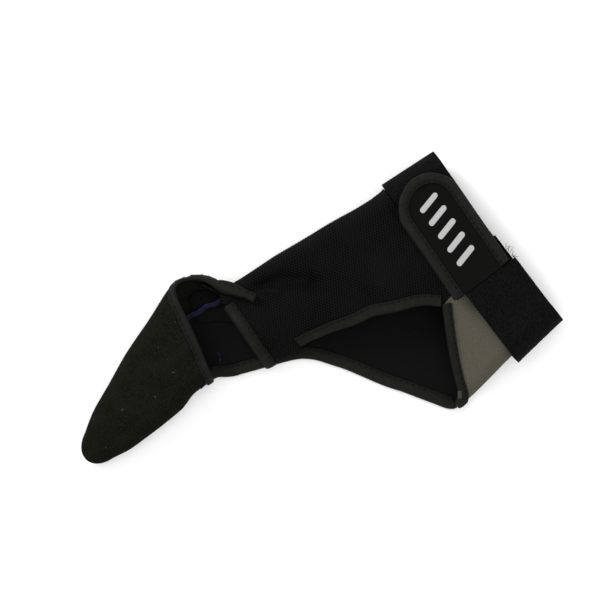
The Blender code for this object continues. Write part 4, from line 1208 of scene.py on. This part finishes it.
def stitchGuide(name, runs):  # a point for each stitch, with the way that it faces and runs
    points, facing, along = (np.concatenate(rows) for rows in zip(*runs))
    mesh = bpy.data.meshes.new(name)
    mesh.from_pydata(((points + handShift) * mm).tolist(), [], [])
    for label, values in (("facing", facing), ("along", along)):
        mesh.attributes.new(label, "FLOAT_VECTOR", "POINT").data.foreach_set("vector", values.ravel())
    guide = bpy.data.objects.new(name, mesh)
    bpy.context.scene.collection.objects.link(guide)
    return guide


flatUv = np.zeros(len(netGuide.data.loops) * 2, np.float32)
netGuide.data.uv_layers["cloth"].data.foreach_get("uv", flatUv)
flatUv = flatUv.reshape(-1, 2)
repeat = np.array([netting["pitch"], 2 * netting["rowPitch"]])
low = np.floor(flatUv.min(axis=0) / repeat) * repeat
size = flatUv.max(axis=0) - low
knots = grown("backNetKnots", netGuide, netKnotTree(), {
    "Pitch": netting["pitch"], "Row Pitch": netting["rowPitch"], "Low": (*low.tolist(), 0.0),
    "Size": (*size.tolist(), 0.0),
    "Knot": tuple(netting[k] * mm for k in ("knotLength", "knotWidth", "knotHeight")),
}, yarn)
dress(knots, "net_cloth")

stitches = grown("bindingStitches", stitchGuide("stitchSpots", stitchRuns), stitchTree(), {
    "Stitch": tuple(size * mm for size in binding["stitch"]),
}, stitchThread)
dress(stitches, "binding_tape")

# Rolled seam and blue threads
seam = {
    "radius": 1.1, "lump": 0.08, "lumpWave": 2.1, "thread": 0.32, "threadAt": (0.62, 0.78),
    "winding": (0.1, 0.08), "windingWave": 3.0,
}
blue = {
    "off": 0.2, "edge": [(8.24, 3.84), (8.42, 3.80), (8.66, 3.86)], "edgeRadius": 0.3,
    "ends": (((-96.0, 28.8), (-94.9, 30.4)), ((-94.6, 31.0), (-94.2, 32.6))), "endRadius": 0.26,
}
roll = knotsToEdge([placeInPlan(x, y, underside=True) for x, y in rollPath], 0.5)
rollLine = shellPoints(roll, -wall / 2 - glove["clearance"] - seam["radius"])
lumps = seam["radius"] * (1 + seam["lump"] * np.sin(runOf(rollLine) * seam["lumpWave"]))
dress(tube("stallSeamRoll", rollLine, lumps, seamCloth, 14), "seam_cloth", "stall_seam_roll")
wound = runOf(rollLine) * seam["windingWave"]
twist = np.column_stack([np.zeros(len(roll)), np.sin(wound), np.cos(wound)]) * [0.0, *seam["winding"]]
threadLine = rollLine + np.array([0.0, *seam["threadAt"]]) * seam["radius"] + twist
threads = [tube("blueSeamThread", threadLine[1:-1], seam["thread"], blueThread, 6)]
edgeLine = shellPoints(knotsToEdge(blue["edge"], 0.5), wall / 2 + blue["off"])
threads.append(tube("blueEdgeThread", edgeLine, blue["edgeRadius"], blueThread, 6))
for start, end in blue["ends"]:
    spots = np.array([placeInPlan(x, y, underside=True) for x, y in np.linspace(start, end, 5)])
    endLine = shellPoints(spots, -wall / 2 - blue["off"])
    threads.append(tube("blueEnd", endLine, blue["endRadius"], blueThread, 6))
dress(joined("blueThreads", threads), "seam_cloth")
print("seam and threads made")

# Silver grip bars on the tab, in place of its print
bars = {
    "count": 5, "start": 12.0, "step": 6.4, "length": 10.0, "width": 2.4, "slant": 14.0,
    "rings": ((1.0, -0.15), (1.0, 0.132), (0.94, 0.22), (0.5, 0.25)),  # scale, and rise over the tab
}


def gripBars():
    half, radius, slant = bars["length"] / 2, bars["width"] / 2, math.radians(bars["slant"])
    angles = np.linspace(-math.pi / 2, math.pi / 2, 9)
    rim = [(half - radius + radius * math.cos(a), radius * math.sin(a)) for a in angles]
    rim += [(-x, -y) for x, y in rim]
    made = []
    for i in range(bars["count"]):
        middle = bars["start"] + i * bars["step"]
        rings = []
        for scale, rise in bars["rings"]:
            ring = []
            for x, y in rim:
                x, y = x - math.copysign((1 - scale) * radius, x), y * scale
                across = x * math.cos(slant) - y * math.sin(slant)
                along = x * math.sin(slant) + y * math.cos(slant)
                place = placeInPlan(*tabPlace(across, middle + along), distance=tabLayer)
                ring.append(pointAt(place, tabLayer + glove["tabWall"] / 2 + rise))
            rings.append(ring)
        made.append(sweepRings("gripBar", rings, silver, False, 40))
    return joined("tabGripBars", made)


dress(gripBars(), "tab_face")
print("grip bars printed")

# Frayed threads at the strap's corner, and a pale bartack on the gusset's tape
fray = {
    "count": 16, "side": 24.6, "from": -4.0, "to": -11.0, "lift": (0.2, 1.4), "fan": 70.0,
    "length": (1.0, 3.0), "radius": 0.09,
}


def frayedThreads():
    rng = np.random.default_rng(21)
    made = []
    for _ in range(fray["count"]):
        share = rng.uniform()
        y = fray["from"] * (1 - share) + fray["to"] * share
        place = placeInPlan(fray["side"], y, distance=strapLayer)
        root = pointAt(place, strapLayer + rng.uniform(*fray["lift"]))
        heading = math.radians(rng.uniform(-fray["fan"], fray["fan"]))
        length = rng.uniform(*fray["length"])
        direction = np.array([math.cos(heading), math.sin(heading), rng.uniform(-0.25, 0.35)])
        bend = rng.normal(0, 0.5, 3) * [1, 1, 0.4]
        t = np.linspace(0, 1, 8)[:, None]
        path = root - direction * 0.4 + direction * t * length + bend * (t * t) * length * 0.5
        made.append(tube("frayedThread", path, fray["radius"] * (1 - 0.5 * t[:, 0]), stitchThread, 5))
    return joined("frayedThreads", made)


dress(frayedThreads(), "elastic")


tack = {
    "at": (-26.5, -41.2), "along": (-0.54, -0.84), "step": 0.5, "count": 6, "half": 0.75, "radius": 0.2,
    "lift": 0.25,
}


def bartack():
    made, along = [], np.array(tack["along"])
    across = np.array([-along[1], along[0], 0.0])
    for i in range(tack["count"]):
        x, y = np.array(tack["at"]) + along * tack["step"] * (i - tack["count"] / 2)
        centre = np.array([x, y, pointAt(placeInPlan(x, y), 0.0)[2] + tapeHalf(wall) + tack["lift"]])
        made.append(tube("tack", centre + across * np.linspace(-tack["half"], tack["half"], 5)[:, None],
                         tack["radius"], paleThread, 6))
    return joined("gussetBartack", made)


dress(bartack(), "binding_tape")

# Lint on the suede
lint = {
    "density": 7600.0, "seed": 4, "bend": 0.6, "sweep": 1.6, "radius": 0.07, "size": (0.35, 1.5),
    "leastUp": 0.25,
}


def lintTree():
    graph, given = nodeTree("lint", [("Density", "NodeSocketFloat", 5000.0), ("Seed", "NodeSocketInt", 0)])
    facing = graph.node("GeometryNodeInputNormal")
    up = graph.parts(facing)[2]
    above = {"data_type": "FLOAT", "operation": "GREATER_THAN"}
    upper = graph.node("FunctionNodeCompare", above, {0: up, 1: lint["leastUp"]})
    points = graph.node("GeometryNodeDistributePointsOnFaces", None, {
        "Mesh": given["Geometry"], "Selection": upper, "Density": given["Density"], "Seed": given["Seed"],
    })
    rotation = Wire(graph, points.socket.node.outputs["Rotation"])
    arc = graph.node("GeometryNodeCurveArc", {"mode": "RADIUS"}, {
        "Resolution": 6, "Radius": lint["bend"] * mm, "Start Angle": 0.0, "Sweep Angle": lint["sweep"],
    })
    rim = graph.node("GeometryNodeCurvePrimitiveCircle", None, {"Resolution": 4, "Radius": lint["radius"] * mm})
    fibre = graph.node("GeometryNodeCurveToMesh", None, {"Curve": arc, "Profile Curve": rim, "Fill Caps": True})

    def chance(low, high, seed):
        inputs = {"Min": low, "Max": high, "Seed": seed}
        return graph.node("FunctionNodeRandomValue", {"data_type": "FLOAT"}, inputs, 1)

    fibres = graph.settled(points, fibre, rotation, chance(*lint["size"], 8))
    turned = graph.node("ShaderNodeCombineXYZ", None, {2: chance(0.0, 6.28, 7)})
    fibres = graph.node("GeometryNodeRotateInstances", None, {"Instances": fibres, "Rotation": turned})
    closeTree(graph, fibres, lintFibre)
    return graph


stallSkin = cutCloth(
    "lintGuide", stallOutline(), wall, wingOffset, suede, fingerStations[::4], stallTurns[::4], skin=True,
)
dress(grown("stallLint", stallSkin, lintTree(), {"Density": lint["density"], "Seed": lint["seed"]}, lintFibre),
      "stall_suede")

# Floor, light and camera. Directions are those of the picture, which turns the glove by 37.4 degrees
studio = {
    "turn": 37.4, "centre": (-54.6, 29.1), "width": 245.9, "lens": 250.0, "sensor": 36.0,
    "farEnd": 20.0, "floorHalf": 3.0, "floorDrop": 0.0002,  # these three in metres
    "paper": (0.93, 0.93, 0.93), "ambient": 0.68,
    "boxes": {  # right, up, height, size in millimetres, watts
        "keyLight": (-640, 560, 560, 420, 9.0),
        "fillLight": (560, -420, 800, 900, 4.5),
        "topLight": (0, 0, 1100, 900, 4.0),
    },
}


def pictureToRow(right, up, height):
    angle = math.radians(-studio["turn"])
    x, y = studio["centre"][0] + handShift[0], studio["centre"][1] + handShift[1]
    return Vector((
        (x + right * math.cos(angle) - up * math.sin(angle)) * mm,
        (y + right * math.sin(angle) + up * math.cos(angle)) * mm,
        height * mm,
    ))


def softBox(name, right, up, height, size, watts):
    data = bpy.data.lights.new(name, "AREA")
    data.shape, data.size, data.energy = "SQUARE", size * mm, watts
    light = bpy.data.objects.new(name, data)
    light.location = pictureToRow(right, up, height)
    target = pictureToRow(0, 0, 0)
    light.rotation_euler = (target - light.location).to_track_quat("-Z", "Y").to_euler()
    bpy.context.scene.collection.objects.link(light)


floorMesh = bpy.data.meshes.new("floor")
half = studio["floorHalf"]
corners = [(-half, -half, 0), (half, -half, 0), (half, half, 0), (-half, half, 0)]
floorMesh.from_pydata(corners, [], [(0, 1, 2, 3)])
paper = Finish("paper", roughness=0.9, specular=0.1)
floorMesh.materials.append(paper.finish(studio["paper"]))
floor = bpy.data.objects.new("floor", floorMesh)
floor.location.z = -studio["floorDrop"]
bpy.context.scene.collection.objects.link(floor)

for name, box in studio["boxes"].items():
    softBox(name, *box)
world = bpy.data.worlds.new("studio")
bpy.context.scene.world = world
world.use_nodes = True
world.node_tree.nodes["Background"].inputs["Color"].default_value = (1.0, 1.0, 1.0, 1.0)
world.node_tree.nodes["Background"].inputs["Strength"].default_value = studio["ambient"]

cameraData = bpy.data.cameras.new("camera")
cameraData.lens, cameraData.sensor_width = studio["lens"], studio["sensor"]
cameraData.clip_end = studio["farEnd"]
camera = bpy.data.objects.new("camera", cameraData)
camera.location = pictureToRow(0, 0, studio["width"] * studio["lens"] / studio["sensor"])
camera.rotation_euler = (0, 0, math.radians(-studio["turn"]))
bpy.context.scene.collection.objects.link(camera)
bpy.context.scene.camera = camera
bpy.context.scene.view_settings.view_transform = "Standard"
print("studio set")
